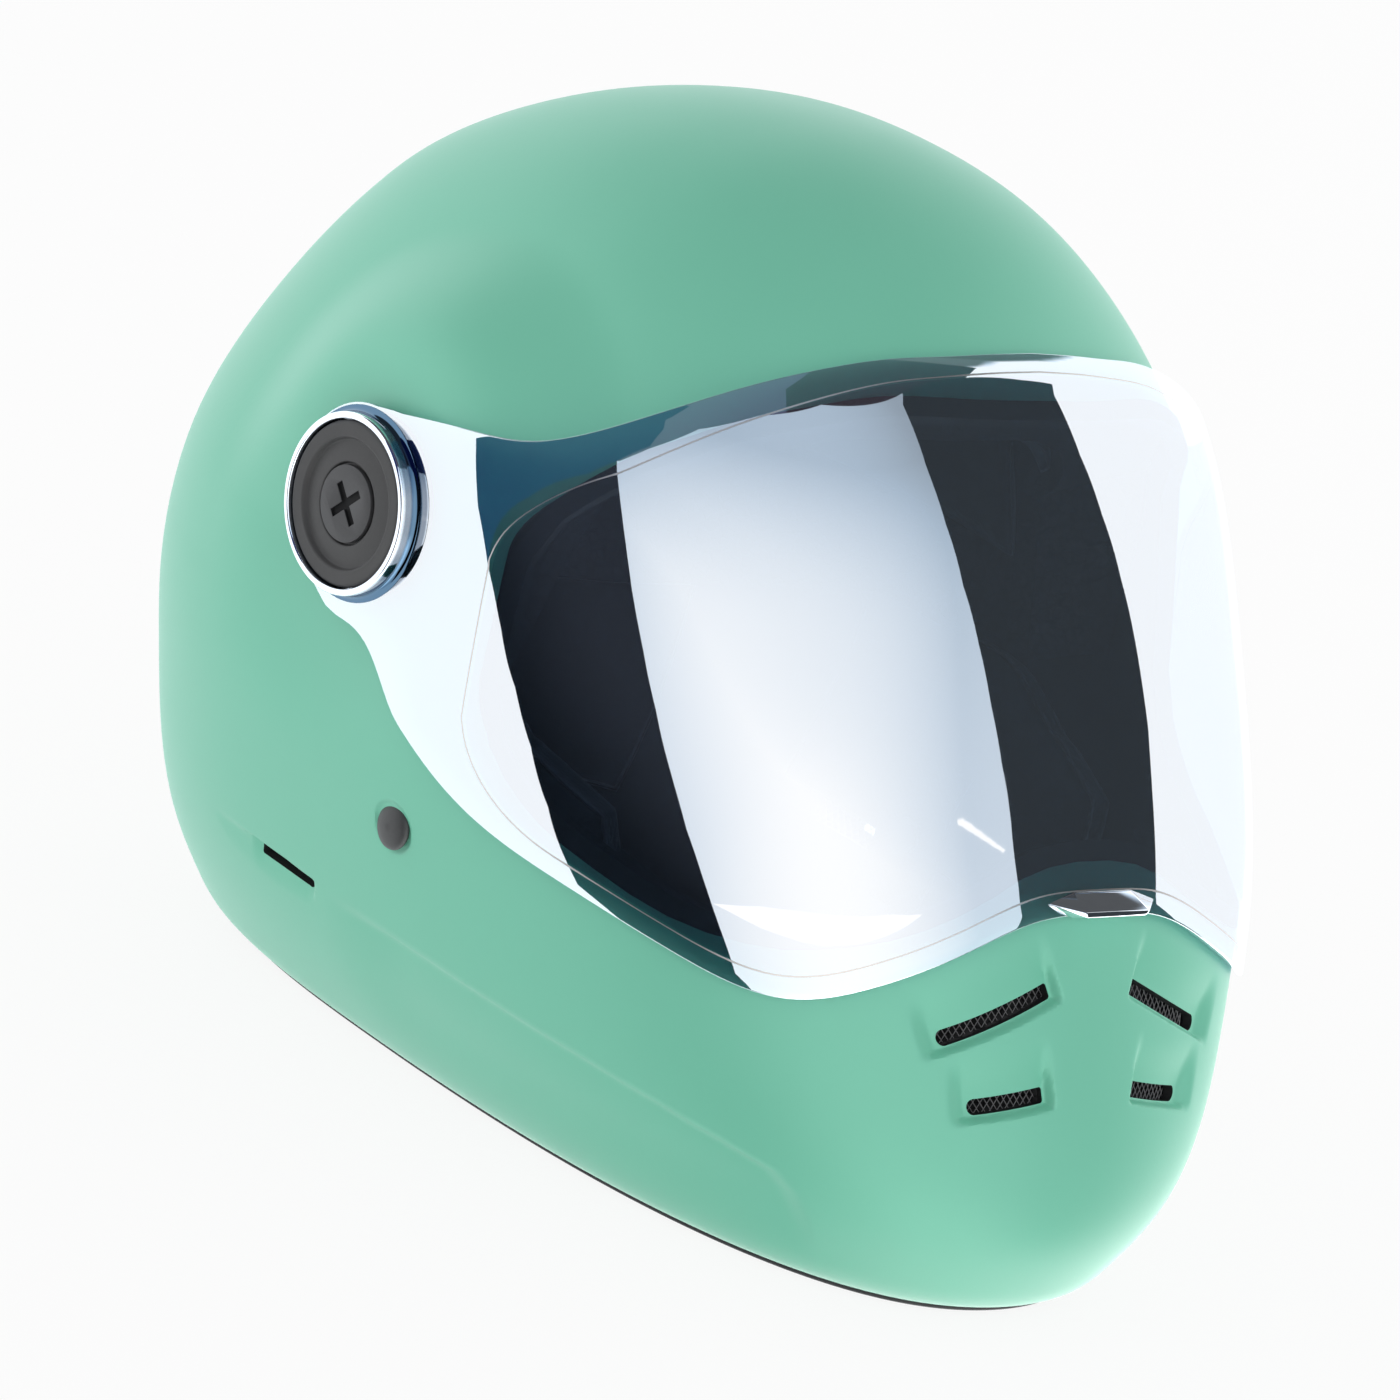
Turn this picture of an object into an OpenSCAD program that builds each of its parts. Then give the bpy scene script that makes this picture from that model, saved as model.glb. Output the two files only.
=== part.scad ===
// Full face helmet with a hinged mirror visor.
// X runs across the head, the face looks along -Y, and Z stands up from the neck rim.
// The origin lies under the middle of the helmet, on the plane that it rests on.

/* [Shell] */
// Shell at the top of its rolled rim: reach to the front, half width, reach to the rear
rim = [178, 88, 123];
// Sections of the shell above the rim: height, reach to the front, half width, reach to the rear
sections = [
    [28, 185, 102, 130],
    [50, 183, 113, 136],
    [75, 175, 121, 142],
    [100, 165, 126, 149],
    [130, 149, 125, 153],
    [160, 135, 117, 148],
    [190, 118, 106, 135],
    [215, 99, 92, 118],
    [235, 77, 74, 92],
    [250, 53, 52, 62],
    [259, 27, 26, 31]
];
// Height of the crown
crown_z = 262; // [261:0.25:264]
// Squareness of a section's front half at the rim, where 2 is an ellipse
front_square = 2.25; // [2:0.05:2.6]
// Squareness of a section's rear half at the rim
rear_square = 2.9; // [2.2:0.05:3.2]
// Squareness of the sections at the crown
crown_square = 2.2; // [2:0.05:2.4]
// Thickness of the shell's wall
shell_wall = 2.6; // [2:0.1:3.4]

/* [Visor] */
// Space between the shell and the visor
visor_gap = 3; // [2.6:0.1:4]
// Thickness of the visor
visor_wall = 2.4; // [1.8:0.1:3]
// Height of the visor's upper edge: angle round the shell from the front, height
visor_top = [
    [0, 231], [20, 230], [30, 228], [40, 223], [50, 216], [60, 205], [70, 192], [80, 183], [92, 177]
];
// Height of the visor's lower edge: angle round the shell from the front, height
visor_low = [
    [0, 110], [8, 107], [16, 98], [24, 90], [32, 84], [40, 80], [50, 80], [60, 86], [70, 94], [80, 107], [92, 127]
];
// How far the visor laps over the edge of the eye port
visor_lap = 13; // [9:1:17]
// How far the anti-fog lens stays inside the visor's edge
lens_inset = 9; // [6:1:12]
// Thickness of the anti-fog lens
lens_wall = 0.8; // [0.5:0.1:1]
// Width of the lift tab under the visor
tab_w = 28; // [20:1:36]
// Reach of the lift tab in front of the visor
tab_reach = 6; // [4:0.5:9]

/* [Pivot] */
// Place of the visor's pivot behind the middle of the shell
pivot_back = 7; // [3:1:11]
// Height of the visor's pivot
pivot_z = 152; // [148:1:156]
// Half width of the shell across its two flat pivot pads
pad_x = 121.5; // [119:0.5:124]
// Outer radius of the round end of the visor's arm
arm_r = 26; // [25:0.5:28]
// Outer radius of the chrome collar's lip
collar_r = 23.6; // [22.5:0.1:24.5]
// Width of the collar's lip
collar_lip = 1.8; // [1.2:0.1:2.4]
// Height of the collar on the visor
collar_h = 5; // [4:0.5:7]
// Radius of the hub that the visor turns on
hub_r = 9; // [7:0.5:11]
// Radius of the pivot screw's head
head_r = 10; // [8:0.5:12]
// Radius of the pivot screw's thread
thread_r = 2.5; // [2:0.25:3.5]

/* [Vents] */
// Upper chin slot: distance of its inner end from the middle, and height there
slot_up_in = [15, 90.5];
// Upper chin slot: distance of its outer end from the middle, and height there
slot_up_out = [47, 76.5];
// Lower chin slot: distance of its inner end from the middle, and height there
slot_low_in = [16, 65.5];
// Lower chin slot: distance of its outer end from the middle, and height there
slot_low_out = [38, 61];
// Height of the chin slots
slot_h = 4; // [3:0.5:6]
// Widening of a slot at the outside of the shell
slot_flare = 2.5; // [1:0.5:4]
// Length of the exhaust slot behind each ear
exhaust_l = 24; // [16:1:32]
// Height of the exhaust slot
exhaust_h = 3; // [2:0.5:5]
// Height of the exhaust slot above the plane the helmet rests on
exhaust_z = 46.5; // [42:0.5:52]
// Place of the exhaust slot behind the middle of the shell
exhaust_back = 17; // [12:1:22]
// Thickness of the wire mesh behind the slots
mesh_wall = 0.8; // [0.6:0.1:1]

/* [Lining] */
// Thickness of the foam liner over the head
foam = 28; // [22:1:32]
// Thickness of the foam in the chin bar
chin_foam = 15; // [10:1:20]
// Thickness of the cheek pads
cheek = 27; // [20:1:32]
// Space for the chin strap between the shell and a cheek pad
strap_space = 16; // [14:0.5:19]
// Thickness of the comfort pads
comfort = 6.5; // [4:0.5:9]
// Thickness of the neck roll
neck_pad = 20; // [14:1:25]

/* [Chin strap] */
// Place of the strap rivets in front of the middle of the shell
rivet_front = 30; // [27:1:33]
// Height of the strap rivets
rivet_z = 78; // [76:1:80]
// Radius of the rivet's round cap
rivet_cap_r = 6; // [5:0.5:8]
// Radius of the rivet's shank
rivet_r = 2.5; // [2:0.25:3]
// Width of the webbing
strap_w = 25; // [20:1:26]
// Thickness of the webbing
strap_t = 2; // [1.4:0.2:2.4]
// Thickness of the steel anchor plates
anchor_t = 1.6; // [1.2:0.1:2]
// Radius of the wire in the D-rings
ring_wire = 1.6; // [1.2:0.1:2]
// Height of a D-ring below its bar
ring_h = 21; // [17:1:23]

/* [Edges] */
// Radius of the shell's rolled lower rim
rim_roll = 8.5; // [7:0.5:10]
// Thickness of the rubber trim below the rim
foot = 1.5; // [1.2:0.1:2]
// Thickness of the rubber lips of the eye port gasket
gasket_lip = 0.6; // [0.5:0.1:0.8]
// Width of the gasket's lips over the edge of the eye port
gasket_w = 3.5; // [3:0.5:5]

/* [Fits] */
// Space between pieces that lie on each other and never move
seat = 0.3; // [0.2:0.05:0.4]
// Space between the shell and the pieces that follow its curve
lining_gap = 0.8; // [0.7:0.05:0.9]
// Space between pieces that pass each other as they move
running = 0.3; // [0.3:0.05:0.5]
// Radial clearance of a hub or shank in the bore that turns on it
bearing = 0.05; // [0.02:0.01:0.08]

/* [Hidden] */

// All sections, with the rim and the crown
stations = concat([[foot + rim_roll, rim[0], rim[1], rim[2]]], sections, [[crown_z, 0, 0, 0]]);
top_level = len(stations) - 1;
sides = [-1, 1];
left = 1;
right = -1;

// Levels of the shell's mesh: the roll of the rim runs from -1 to 0, the body from 0 to the crown
roll_levels = [-1, -0.75, -0.5, -0.25];
body_levels = [for (t = [0:0.5:top_level - 0.5]) t];
shell_angles = [for (a = [0:5:355]) a];

front_most = max([for (t = body_levels) profile(t)[1]]);
rear_most = max([for (t = body_levels) profile(t)[3]]);
middle = (front_most - rear_most) / 2;
pivot_y = middle + pivot_back;
rivet_y = middle - rivet_front;

pad_flat = arm_r + 6;
pad_blend = 40;
deep = 12;

// Outside of the shell at the strap rivets, and the floor of the shallow recess for their caps
rivet_angle = 82;
rivet_x = shell_point(rivet_angle, level(rivet_z))[0];
rivet_seat = rivet_x - 1;

port_end = 72;
port_corner = 11;
corner_h = 18;
lining_lap = 5;

function mix(a, b, u) = a + (b - a) * u;
function flat(lists) = [for (l = lists) each l];
function curve(p0, p1, p2, p3, u) =
    0.5 * (2 * p1 + (p2 - p0) * u + (2 * p0 - 5 * p1 + 4 * p2 - p3) * u * u
        + (3 * p1 - p0 - 3 * p2 + p3) * u * u * u);

// Height and reaches of the shell at a level, a smooth curve through the sections
function profile(t) =
    let (n = top_level, k = max(0, min(floor(t), n - 1)), last = stations[n - 1])
    curve(
        k > 0 ? stations[k - 1] : 2 * stations[0] - stations[1],
        stations[k],
        stations[k + 1],
        k + 2 <= n ? stations[k + 2] : [last[0], -last[3], -last[2], -last[1]],
        t - k
    );

// Level of the shell at a height, found by halving
function level(z, lo = 0, hi = top_level, n = 14) =
    let (m = (lo + hi) / 2)
    n == 0 ? m : profile(m)[0] < z ? level(z, m, hi, n - 1) : level(z, lo, m, n - 1);

// Squareness of a section at a level, given the squareness at the rim
function square_at(rim_square, t) = mix(rim_square, crown_square, max(0, min(1, 1.6 * t / top_level)));

// Point of the shell's outside at an angle from the front and a level, before the pivot pads
function section_point(a, t) =
    let (
        p = profile(t),
        c = cos(a),
        s = sin(a),
        n = square_at(c >= 0 ? front_square : rear_square, t),
        reach = c >= 0 ? p[1] : p[3]
    )
    [p[2] * sign(s) * pow(abs(s), 2 / n), middle - reach * sign(c) * pow(abs(c), 2 / n), p[0]];

// The same point after the sides are drawn to a flat pad round each pivot, unless plain is asked for
function shell_point(a, t, plain = false) =
    let (
        q = section_point(a, t),
        r = norm([q[1] - pivot_y, q[2] - pivot_z]),
        far = min(1, max(0, (r - pad_flat) / pad_blend)),
        w = 0.5 + 0.5 * cos(180 * far)
    )
    plain || abs(q[0]) < pad_x / 2 ? q : [mix(q[0], sign(q[0]) * pad_x, w), q[1], q[2]];

// Direction that points straight out of the shell
function outward(a, t, plain = false) =
    t >= top_level ? [0, 0, 1] :
    let (
        along = shell_point(a + 0.5, t, plain) - shell_point(a - 0.5, t, plain),
        up = shell_point(a, t + 0.02, plain) - shell_point(a, t - 0.02, plain),
        w = cross(along, up)
    )
    w / norm(w);

// Point at a distance d outside the shell, with the rolled rim below level 0;
// deep in the lining the surface passes the pivot pads without a bend
function skin(a, t, d) =
    let (plain = d < -deep)
    t >= 0 ? shell_point(a, t, plain) + d * outward(a, t, plain) : rolled(a, -90 * t, d);
function rolled(a, turn, d) =
    let (n = outward(a, 0), side = [n[0], n[1], 0] / norm([n[0], n[1]]), q = shell_point(a, 0))
    [q[0], q[1], foot + rim_roll] - side * (rim_roll * (1 - cos(turn)) - d * cos(turn))
        - [0, 0, (rim_roll + d) * sin(turn)];

// Smooth curve through a list of angle and height, even about the front
function edge(list, a) =
    let (
        b = abs(a),
        n = len(list) - 1,
        k = max([for (i = [0:n - 1]) list[i][0] <= b ? i : 0]),
        u = (b - list[k][0]) / (list[k + 1][0] - list[k][0])
    )
    curve(list[max(k - 1, 0)][1], list[k][1], list[k + 1][1], list[min(k + 2, n)][1], u);

// Rounding of the eye port's rear corners
function corner(a) =
    let (u = min(1, max(0, (abs(a) - port_end + port_corner) / port_corner)))
    corner_h * (1 - sqrt(1 - u * u));
function port_low(a) = edge(visor_low, a) + visor_lap + corner(a);
function port_top(a) = edge(visor_top, a) - visor_lap - corner(a);

// Lower edge of the foam liner: over the eye port, then down past the ears to the neck
lining_side = [[0, 124], [78, 124], [90, 118], [110, 104], [130, 90], [150, 82], [180, 80]];
function lining_low(a) =
    abs(a) < port_end + 4 ? edge(visor_top, a) - visor_lap + lining_lap : edge(lining_side, a);
half_lining = concat([for (a = [0:7:70]) a], [74, 78], [for (a = [84:8:180]) a]);
lining_angles = concat(half_lining, [for (i = [len(half_lining) - 2:-1:1]) -half_lining[i]]);

// Triangles between two rows of point numbers
function strip(a, b, closed) =
    [for (i = [0:1:len(a) - (closed ? 1 : 2)])
        let (j = (i + 1) % len(a))
        each [[a[i], b[i], b[j]], [a[i], b[j], a[j]]]];
function numbers(first, count) = [for (i = [0:count - 1]) first + i];

// Solid between two sheets of points; closed joins the last column to the first
module slab(outer, inner, closed = false) {
    rows = len(outer);
    cols = len(outer[0]);
    o = [for (r = [0:rows - 1]) numbers(r * cols, cols)];
    i = [for (r = [0:rows - 1]) numbers((rows + r) * cols, cols)];
    last = cols - 1;
    ends = closed ? [] : concat(
        strip([for (r = i) r[last]], [for (r = o) r[last]], false),
        strip([for (r = o) r[0]], [for (r = i) r[0]], false)
    );
    polyhedron(
        points = concat(flat(outer), flat(inner)),
        faces = concat(
            flat([for (r = [0:rows - 2]) strip(o[r], o[r + 1], closed)]),
            flat([for (r = [0:rows - 2]) strip(i[r + 1], i[r], closed)]),
            strip(i[0], o[0], closed),
            strip(o[rows - 1], i[rows - 1], closed),
            ends
        )
    );
}

// Closed dome between two sheets of rings that end in a tip each
module dome(outer, inner, outer_tip, inner_tip) {
    rows = len(outer);
    cols = len(outer[0]);
    o = [for (r = [0:rows - 1]) numbers(r * cols, cols)];
    i = [for (r = [0:rows - 1]) numbers((rows + r) * cols, cols)];
    tip = 2 * rows * cols;
    polyhedron(
        points = concat(flat(outer), flat(inner), [outer_tip, inner_tip]),
        faces = concat(
            flat([for (r = [0:rows - 2]) strip(o[r], o[r + 1], true)]),
            flat([for (r = [0:rows - 2]) strip(i[r + 1], i[r], true)]),
            strip(i[0], o[0], true),
            [for (c = [0:cols - 1]) [o[rows - 1][c], tip, o[rows - 1][(c + 1) % cols]]],
            [for (c = [0:cols - 1]) [i[rows - 1][c], i[rows - 1][(c + 1) % cols], tip + 1]]
        )
    );
}

// Closed ring whose cross-sections are given one after the other
module ring_solid(loops) {
    n = len(loops);
    m = len(loops[0]);
    polyhedron(
        points = flat(loops),
        faces = flat([for (k = [0:n - 1]) strip(numbers(k * m, m), numbers((k + 1) % n * m, m), true)])
    );
}

// Sheet of points at distance d between two height functions, given as lists over the angles
function sheet(angles, low, top, rows, d) =
    [for (r = [0:rows])
        [for (c = [0:len(angles) - 1])
            skin(angles[c], mix(level(low[c]), level(top[c]), r / rows), d)]];

// Piece of lining or plate that follows the shell between two distances from it
module following(angles, low, top, rows, outer_d, inner_d) {
    slab(sheet(angles, low, top, rows, outer_d), sheet(angles, low, top, rows, inner_d));
}

// Cap of lining that follows the shell from a lower edge up to the crown
module following_dome(angles, low, rows, outer_d, inner_d) {
    starts = [for (z = low) level(z)];
    rings = function (d)
        [for (r = [0:rows - 1])
            [for (c = [0:len(angles) - 1]) skin(angles[c], mix(starts[c], top_level, r / rows), d)]];
    dome(rings(outer_d), rings(inner_d), skin(0, top_level, outer_d), skin(0, top_level, inner_d));
}

// Cylinder that runs outwards along X at a side, from the distance x1 to x2 from the middle
module across(side, y, z, x1, x2, r) {
    translate([side * x1, y, z]) rotate([0, side * 90, 0]) cylinder(h = x2 - x1, r = r, $fn = 64);
}

// Turned piece with its axis along X at a side
module turned(side, y, z, outline) {
    translate([0, y, z]) rotate([0, side * 90, 0]) rotate_extrude($fn = 96) polygon(outline);
}

// Outer shell

half_port = concat([for (a = [2:4:58]) a], [for (a = [port_end - port_corner + 1:2:port_end]) a]);
port_angles = concat([for (i = [len(half_port) - 1:-1:0]) -half_port[i]], half_port);

module shell_skin() {
    levels = concat(roll_levels, body_levels);
    sheet_at = function (d) [for (t = levels) [for (a = shell_angles) skin(a, t, d)]];
    dome(sheet_at(0), sheet_at(-shell_wall), skin(0, top_level, 0), skin(0, top_level, -shell_wall));
}

module port_cutter() {
    following(port_angles, [for (a = port_angles) port_low(a)], [for (a = port_angles) port_top(a)], 10,
        visor_gap, -shell_wall * 3);
}

// Puts a shape on the front of the shell, at a distance from the middle and a height, with Z outwards
module on_front(side, place) {
    t = level(place[1]);
    a = side * asin(pow(place[0] / profile(t)[2], square_at(front_square, t) / 2));
    n = outward(a, t);
    translate(skin(a, t, 0)) rotate([0, acos(n[2]), atan2(n[1], n[0])]) children();
}

// Slot through the chin bar with a flare towards the outside
module chin_slot(side, inner, outer) {
    hull() {
        for (p = [inner, outer])
            on_front(side, p) translate([0, 0, -15]) cylinder(h = 20, d = slot_h, $fn = 24);
    }
    hull() {
        for (p = [inner, outer])
            on_front(side, p) {
                translate([0, 0, -shell_wall * 0.6]) cylinder(h = 0.1, d = slot_h, $fn = 24);
                translate([0, 0, 3]) cylinder(h = 0.1, d = slot_h + 3 * slot_flare, $fn = 24);
            }
    }
}

module exhaust_slot(side) {
    half = exhaust_l / 2 - exhaust_h / 2;
    hull() {
        for (s = sides)
            translate([side * 90, middle + exhaust_back + s * half, exhaust_z]) rotate([0, side * 90, 0])
                cylinder(h = 40, d = exhaust_h, $fn = 24);
    }
}

module shell_form() {
    union() {
        difference() {
            shell_skin();
            port_cutter();
            for (side = sides) {
                chin_slot(side, slot_up_in, slot_up_out);
                chin_slot(side, slot_low_in, slot_low_out);
                exhaust_slot(side);
            }
        }
    }
}

module outer_shell() {
    color([0.5, 0.78, 0.68]) difference() {
        shell_form();
        for (side = sides) {
            across(side, pivot_y, pivot_z, pad_x - 20, pad_x + 20, nut_r + seat);
            across(side, rivet_y, rivet_z, pad_x - 30, pad_x + 20, rivet_r + seat);
            across(side, rivet_y, rivet_z, rivet_seat, pad_x + 20, rivet_cap_r + 2 * seat);
        }
    }
}

// Lining

module crown_liner() {
    d = -shell_wall - lining_gap;
    color([0.16, 0.16, 0.17]) difference() {
        following_dome(lining_angles, [for (a = lining_angles) lining_low(a)], 12, d, d - foam);
        for (side = sides)
            across(side, pivot_y, pivot_z, nut_x - 3, pad_x, nut_flange_r + 2);
    }
}

chin_angles = [for (a = [-60:4:60]) a];
chin_low = 20;

module chin_liner() {
    d = -shell_wall - seat - mesh_wall - lining_gap;
    color([0.16, 0.16, 0.17]) difference() {
        following(chin_angles, [for (a = chin_angles) chin_low],
            [for (a = chin_angles) edge(visor_low, a) + visor_lap - lining_lap], 5, d, d - chin_foam);
        for (side = sides, slot = [[slot_up_in, slot_up_out], [slot_low_in, slot_low_out]])
            duct(side, slot[0], slot[1]);
    }
}

// Straight way for the air through the foam behind a chin slot
module duct(side, inner, outer) {
    run = outer - inner;
    centre = (inner + outer) / 2;
    translate([side * centre[0], middle - front_most, centre[1]])
        rotate([0, -side * atan2(run[1], run[0]), 0])
            translate([-norm(run) / 2, 0, -slot_h])
                cube([norm(run), 70, 2 * slot_h]);
}

brow_angles = [for (a = [-60:6:60]) a];
brow_h = 28;
pad_d = -shell_wall - lining_gap - foam - lining_gap;

module brow_pad() {
    color([0.08, 0.08, 0.09]) following(brow_angles, [for (a = brow_angles) lining_low(a) + 3],
        [for (a = brow_angles) lining_low(a) + brow_h], 4, pad_d, pad_d - comfort);
}

// The crown pad starts above the brow pad at the front and at one height round the back
crown_pad_low = 160;

module crown_pad() {
    color([0.08, 0.08, 0.09]) following_dome(lining_angles,
        [for (a = lining_angles) min(crown_z - 8, max(crown_pad_low, lining_low(a) + brow_h + 3))],
        6, pad_d, pad_d - comfort);
}

cheek_angles = [63, 70, 74, 78, 84, 92, 100];
cheek_low = 46;
function cheek_top(a) =
    a < port_end + 2 ? edge(visor_low, a) + visor_lap - lining_lap : edge(lining_side, a) - lining_gap;

module cheek_pad(side) {
    angles = [for (a = cheek_angles) side * a];
    ordered = side > 0 ? angles : [for (i = [len(angles) - 1:-1:0]) angles[i]];
    color([0.08, 0.08, 0.09]) following(ordered, [for (a = ordered) cheek_low],
        [for (a = ordered) cheek_top(abs(a))], 5, -strap_space, -strap_space - cheek);
}

neck_angles = [for (a = [132:8:228]) a];
neck_low = 24;

module neck_roll() {
    d = -shell_wall - lining_gap;
    color([0.08, 0.08, 0.09]) following(neck_angles, [for (a = neck_angles) neck_low],
        [for (a = neck_angles) edge(lining_side, a > 180 ? 360 - a : a) - lining_gap], 4, d, d - neck_pad);
}

// Edges

// Outline of the eye port as angle and height, once round
port_loop = concat(
    [for (a = port_angles) [a, port_low(a)]],
    [for (u = [0.25:0.25:0.75]) [port_end, mix(port_low(port_end), port_top(port_end), u)]],
    [for (i = [len(port_angles) - 1:-1:0]) [port_angles[i], port_top(port_angles[i])]],
    [for (u = [0.25:0.25:0.75]) [-port_end, mix(port_top(port_end), port_low(port_end), u)]]
);

module eye_port_gasket() {
    n = len(port_loop);
    web = 1.6;
    over = 2 * seat;
    under = -shell_wall - over;
    // Cross-section: distance from the port's edge away from the opening, distance outside the shell
    outline = [
        [-seat - web, over + gasket_lip],
        [gasket_w, over + gasket_lip],
        [gasket_w, over],
        [-seat, over],
        [-seat, under],
        [gasket_w, under],
        [gasket_w, under - gasket_lip],
        [-seat - web, under - gasket_lip]
    ];
    at = function (k) let (p = port_loop[(k + n) % n]) skin(p[0], level(p[1]), 0);
    loops = [for (k = [0:n - 1])
        let (
            p = port_loop[k],
            out = outward(p[0], level(p[1])),
            along = at(k + 1) - at(k - 1),
            away = cross(along, out) / norm(cross(along, out))
        )
        [for (q = outline) at(k) + q[0] * away + q[1] * out]];
    color([0.05, 0.05, 0.06]) ring_solid(loops);
}

module neck_edge_trim() {
    web = 2.4;
    lip = 4;
    top_lip = 1.2;
    // Cross-section: distance outwards from the rim's inner edge, height
    outline = [
        [-seat - web, 0],
        [-seat - web, foot + shell_wall + seat + 1.2],
        [top_lip, foot + shell_wall + seat + 1.2],
        [top_lip, foot + shell_wall + seat],
        [-seat, foot + shell_wall + seat],
        [-seat, foot - seat],
        [lip, foot - seat],
        [lip, 0]
    ];
    loops = [for (a = shell_angles)
        let (q = rolled(a, 90, 0), n = outward(a, 0), side = [n[0], n[1], 0] / norm([n[0], n[1]]))
        [for (p = outline) [q[0], q[1], 0] + p[0] * side + [0, 0, p[1]]]];
    color([0.05, 0.05, 0.06]) ring_solid(loops);
}

module vent_mesh(side) {
    angles = side > 0 ? [for (a = [4:3:22]) a] : [for (a = [-22:3:-4]) a];
    d = -shell_wall - seat - 0.2;
    color([0.12, 0.12, 0.13]) following(angles, [for (a = angles) slot_low_out[1] - 6],
        [for (a = angles) slot_up_in[1] + 5 - (abs(a) - 4) * 0.5], 4, d, d - mesh_wall);
}

module exhaust_mesh(side) {
    angles = side > 0 ? [for (a = [88:2:102]) a] : [for (a = [-102:2:-88]) a];
    d = -shell_wall - seat - 0.2;
    color([0.12, 0.12, 0.13]) following(angles, [for (a = angles) exhaust_z - exhaust_h - 4],
        [for (a = angles) exhaust_z + exhaust_h + 4], 2, d, d - mesh_wall);
}

// Visor

visor_end = 91;
visor_angles = [for (i = [-26:26]) i * visor_end / 26];
arm_in = pad_x + visor_gap;
arm_out = arm_in + visor_wall;

module visor() {
    color([0.55, 0.68, 0.8, 0.6]) difference() {
        union() {
            following(visor_angles, [for (a = visor_angles) edge(visor_low, a)],
                [for (a = visor_angles) edge(visor_top, a)], 12, visor_gap + visor_wall, visor_gap);
            for (side = sides)
                across(side, pivot_y, pivot_z, arm_in, arm_out, arm_r);
        }
        for (side = sides)
            across(side, pivot_y, pivot_z, pad_x, pad_x + 20, hub_r + bearing);
    }
}

lens_end = 76;
lens_corner = 13;
lens_corner_h = 22;
lens_angles = [for (i = [-22:22]) i * lens_end / 22];
lens_top_d = visor_gap - seat;

module visor_inner_lens() {
    color([0.6, 0.65, 0.7, 0.5]) following(lens_angles,
        [for (a = lens_angles) edge(visor_low, a) + lens_inset + lens_round(a)],
        [for (a = lens_angles) edge(visor_top, a) - lens_inset - lens_round(a)],
        9, lens_top_d, lens_top_d - lens_wall);
}
function lens_round(a) =
    let (u = max(0, (abs(a) - lens_end + lens_corner) / lens_corner))
    lens_corner_h * (1 - sqrt(1 - u * u));

// The tab is a wedge on the visor's lower edge with slanted ends
module visor_tab() {
    z = visor_low[0][1] - 1;
    face = middle - profile(level(z + 1))[1] - visor_gap - visor_wall - seat;
    plate = [tab_w, 1.5, 3.5];
    crest = [tab_w - 12, 2.5, 7];
    lip = [tab_w - 16, 1, 2];
    color([0.8, 0.82, 0.85]) hull() {
        translate([-plate[0] / 2, face - plate[1], z]) cube(plate);
        translate([-crest[0] / 2, face - crest[1], z]) cube(crest);
        translate([-lip[0] / 2, face - tab_reach, z]) cube(lip);
    }
}

// Pivots, from the shell outwards: base with its hub, washer, cap and screw; the collar is on the visor

nut_r = thread_r + 1.3;
nut_flange_r = 10;
nut_flange = 1.5;
nut_x = pad_x - shell_wall - seat - nut_flange;
hub_out = arm_out + running;
washer_t = 0.8;
cap_r = collar_r - collar_lip - running;
cap_in = hub_out + washer_t + seat;
cap_out = arm_out + collar_h - 0.8;
head_out = cap_out - 0.3;
head_in = cap_in + 1;

module pivot_base(side) {
    color([0.1, 0.1, 0.11]) difference() {
        union() {
            across(side, pivot_y, pivot_z, pad_x + 0.1, arm_in - running, arm_r - 2);
            across(side, pivot_y, pivot_z, pad_x + 0.1, hub_out, hub_r);
        }
        across(side, pivot_y, pivot_z, pad_x - 1, hub_out + 1, thread_r + 0.2);
    }
}

module pivot_nut(side) {
    color([0.7, 0.7, 0.7]) difference() {
        union() {
            across(side, pivot_y, pivot_z, nut_x, nut_x + nut_flange, nut_flange_r);
            across(side, pivot_y, pivot_z, nut_x, pad_x - seat, nut_r);
        }
        across(side, pivot_y, pivot_z, nut_x - 1, pad_x, thread_r + bearing);
    }
}

module pivot_washer(side) {
    color([0.75, 0.75, 0.76]) difference() {
        across(side, pivot_y, pivot_z, hub_out + seat / 2, hub_out + seat / 2 + washer_t, cap_r - 3);
        across(side, pivot_y, pivot_z, hub_out, cap_in + 1, thread_r + 0.2);
    }
}

// The collar stands on the visor's arm with a hollow foot and a rounded lip
module pivot_collar(side) {
    low = arm_out + 0.1;
    high = arm_out + collar_h;
    inner = collar_r - collar_lip;
    foot_r = arm_r - 0.4;
    lip_r = collar_lip / 2;
    color([0.85, 0.87, 0.9]) turned(side, pivot_y, pivot_z, concat(
        [[inner, low], [foot_r, low]],
        [for (a = [0:15:90]) [mix(foot_r, collar_r, sin(a)), low + 0.4 + collar_h / 2 * (1 - cos(a))]],
        [for (a = [0:30:180]) [collar_r - lip_r + lip_r * cos(a), high - lip_r + lip_r * sin(a)]]
    ));
}

module pivot_cap(side) {
    ridge = 16;
    recess = 0.9;
    color([0.2, 0.2, 0.2]) turned(side, pivot_y, pivot_z, [
        [thread_r + 0.2, cap_in],
        [cap_r, cap_in],
        [cap_r, cap_out - 0.6],
        [cap_r - 0.6, cap_out],
        [ridge + 2, cap_out],
        [ridge, cap_out - recess],
        [head_r + 2, cap_out - recess],
        [head_r + 0.8, cap_out - 0.3],
        [head_r + 0.2, cap_out - 0.3],
        [head_r + 0.2, head_in - 0.1],
        [thread_r + 0.2, head_in - 0.1]
    ]);
}

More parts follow.
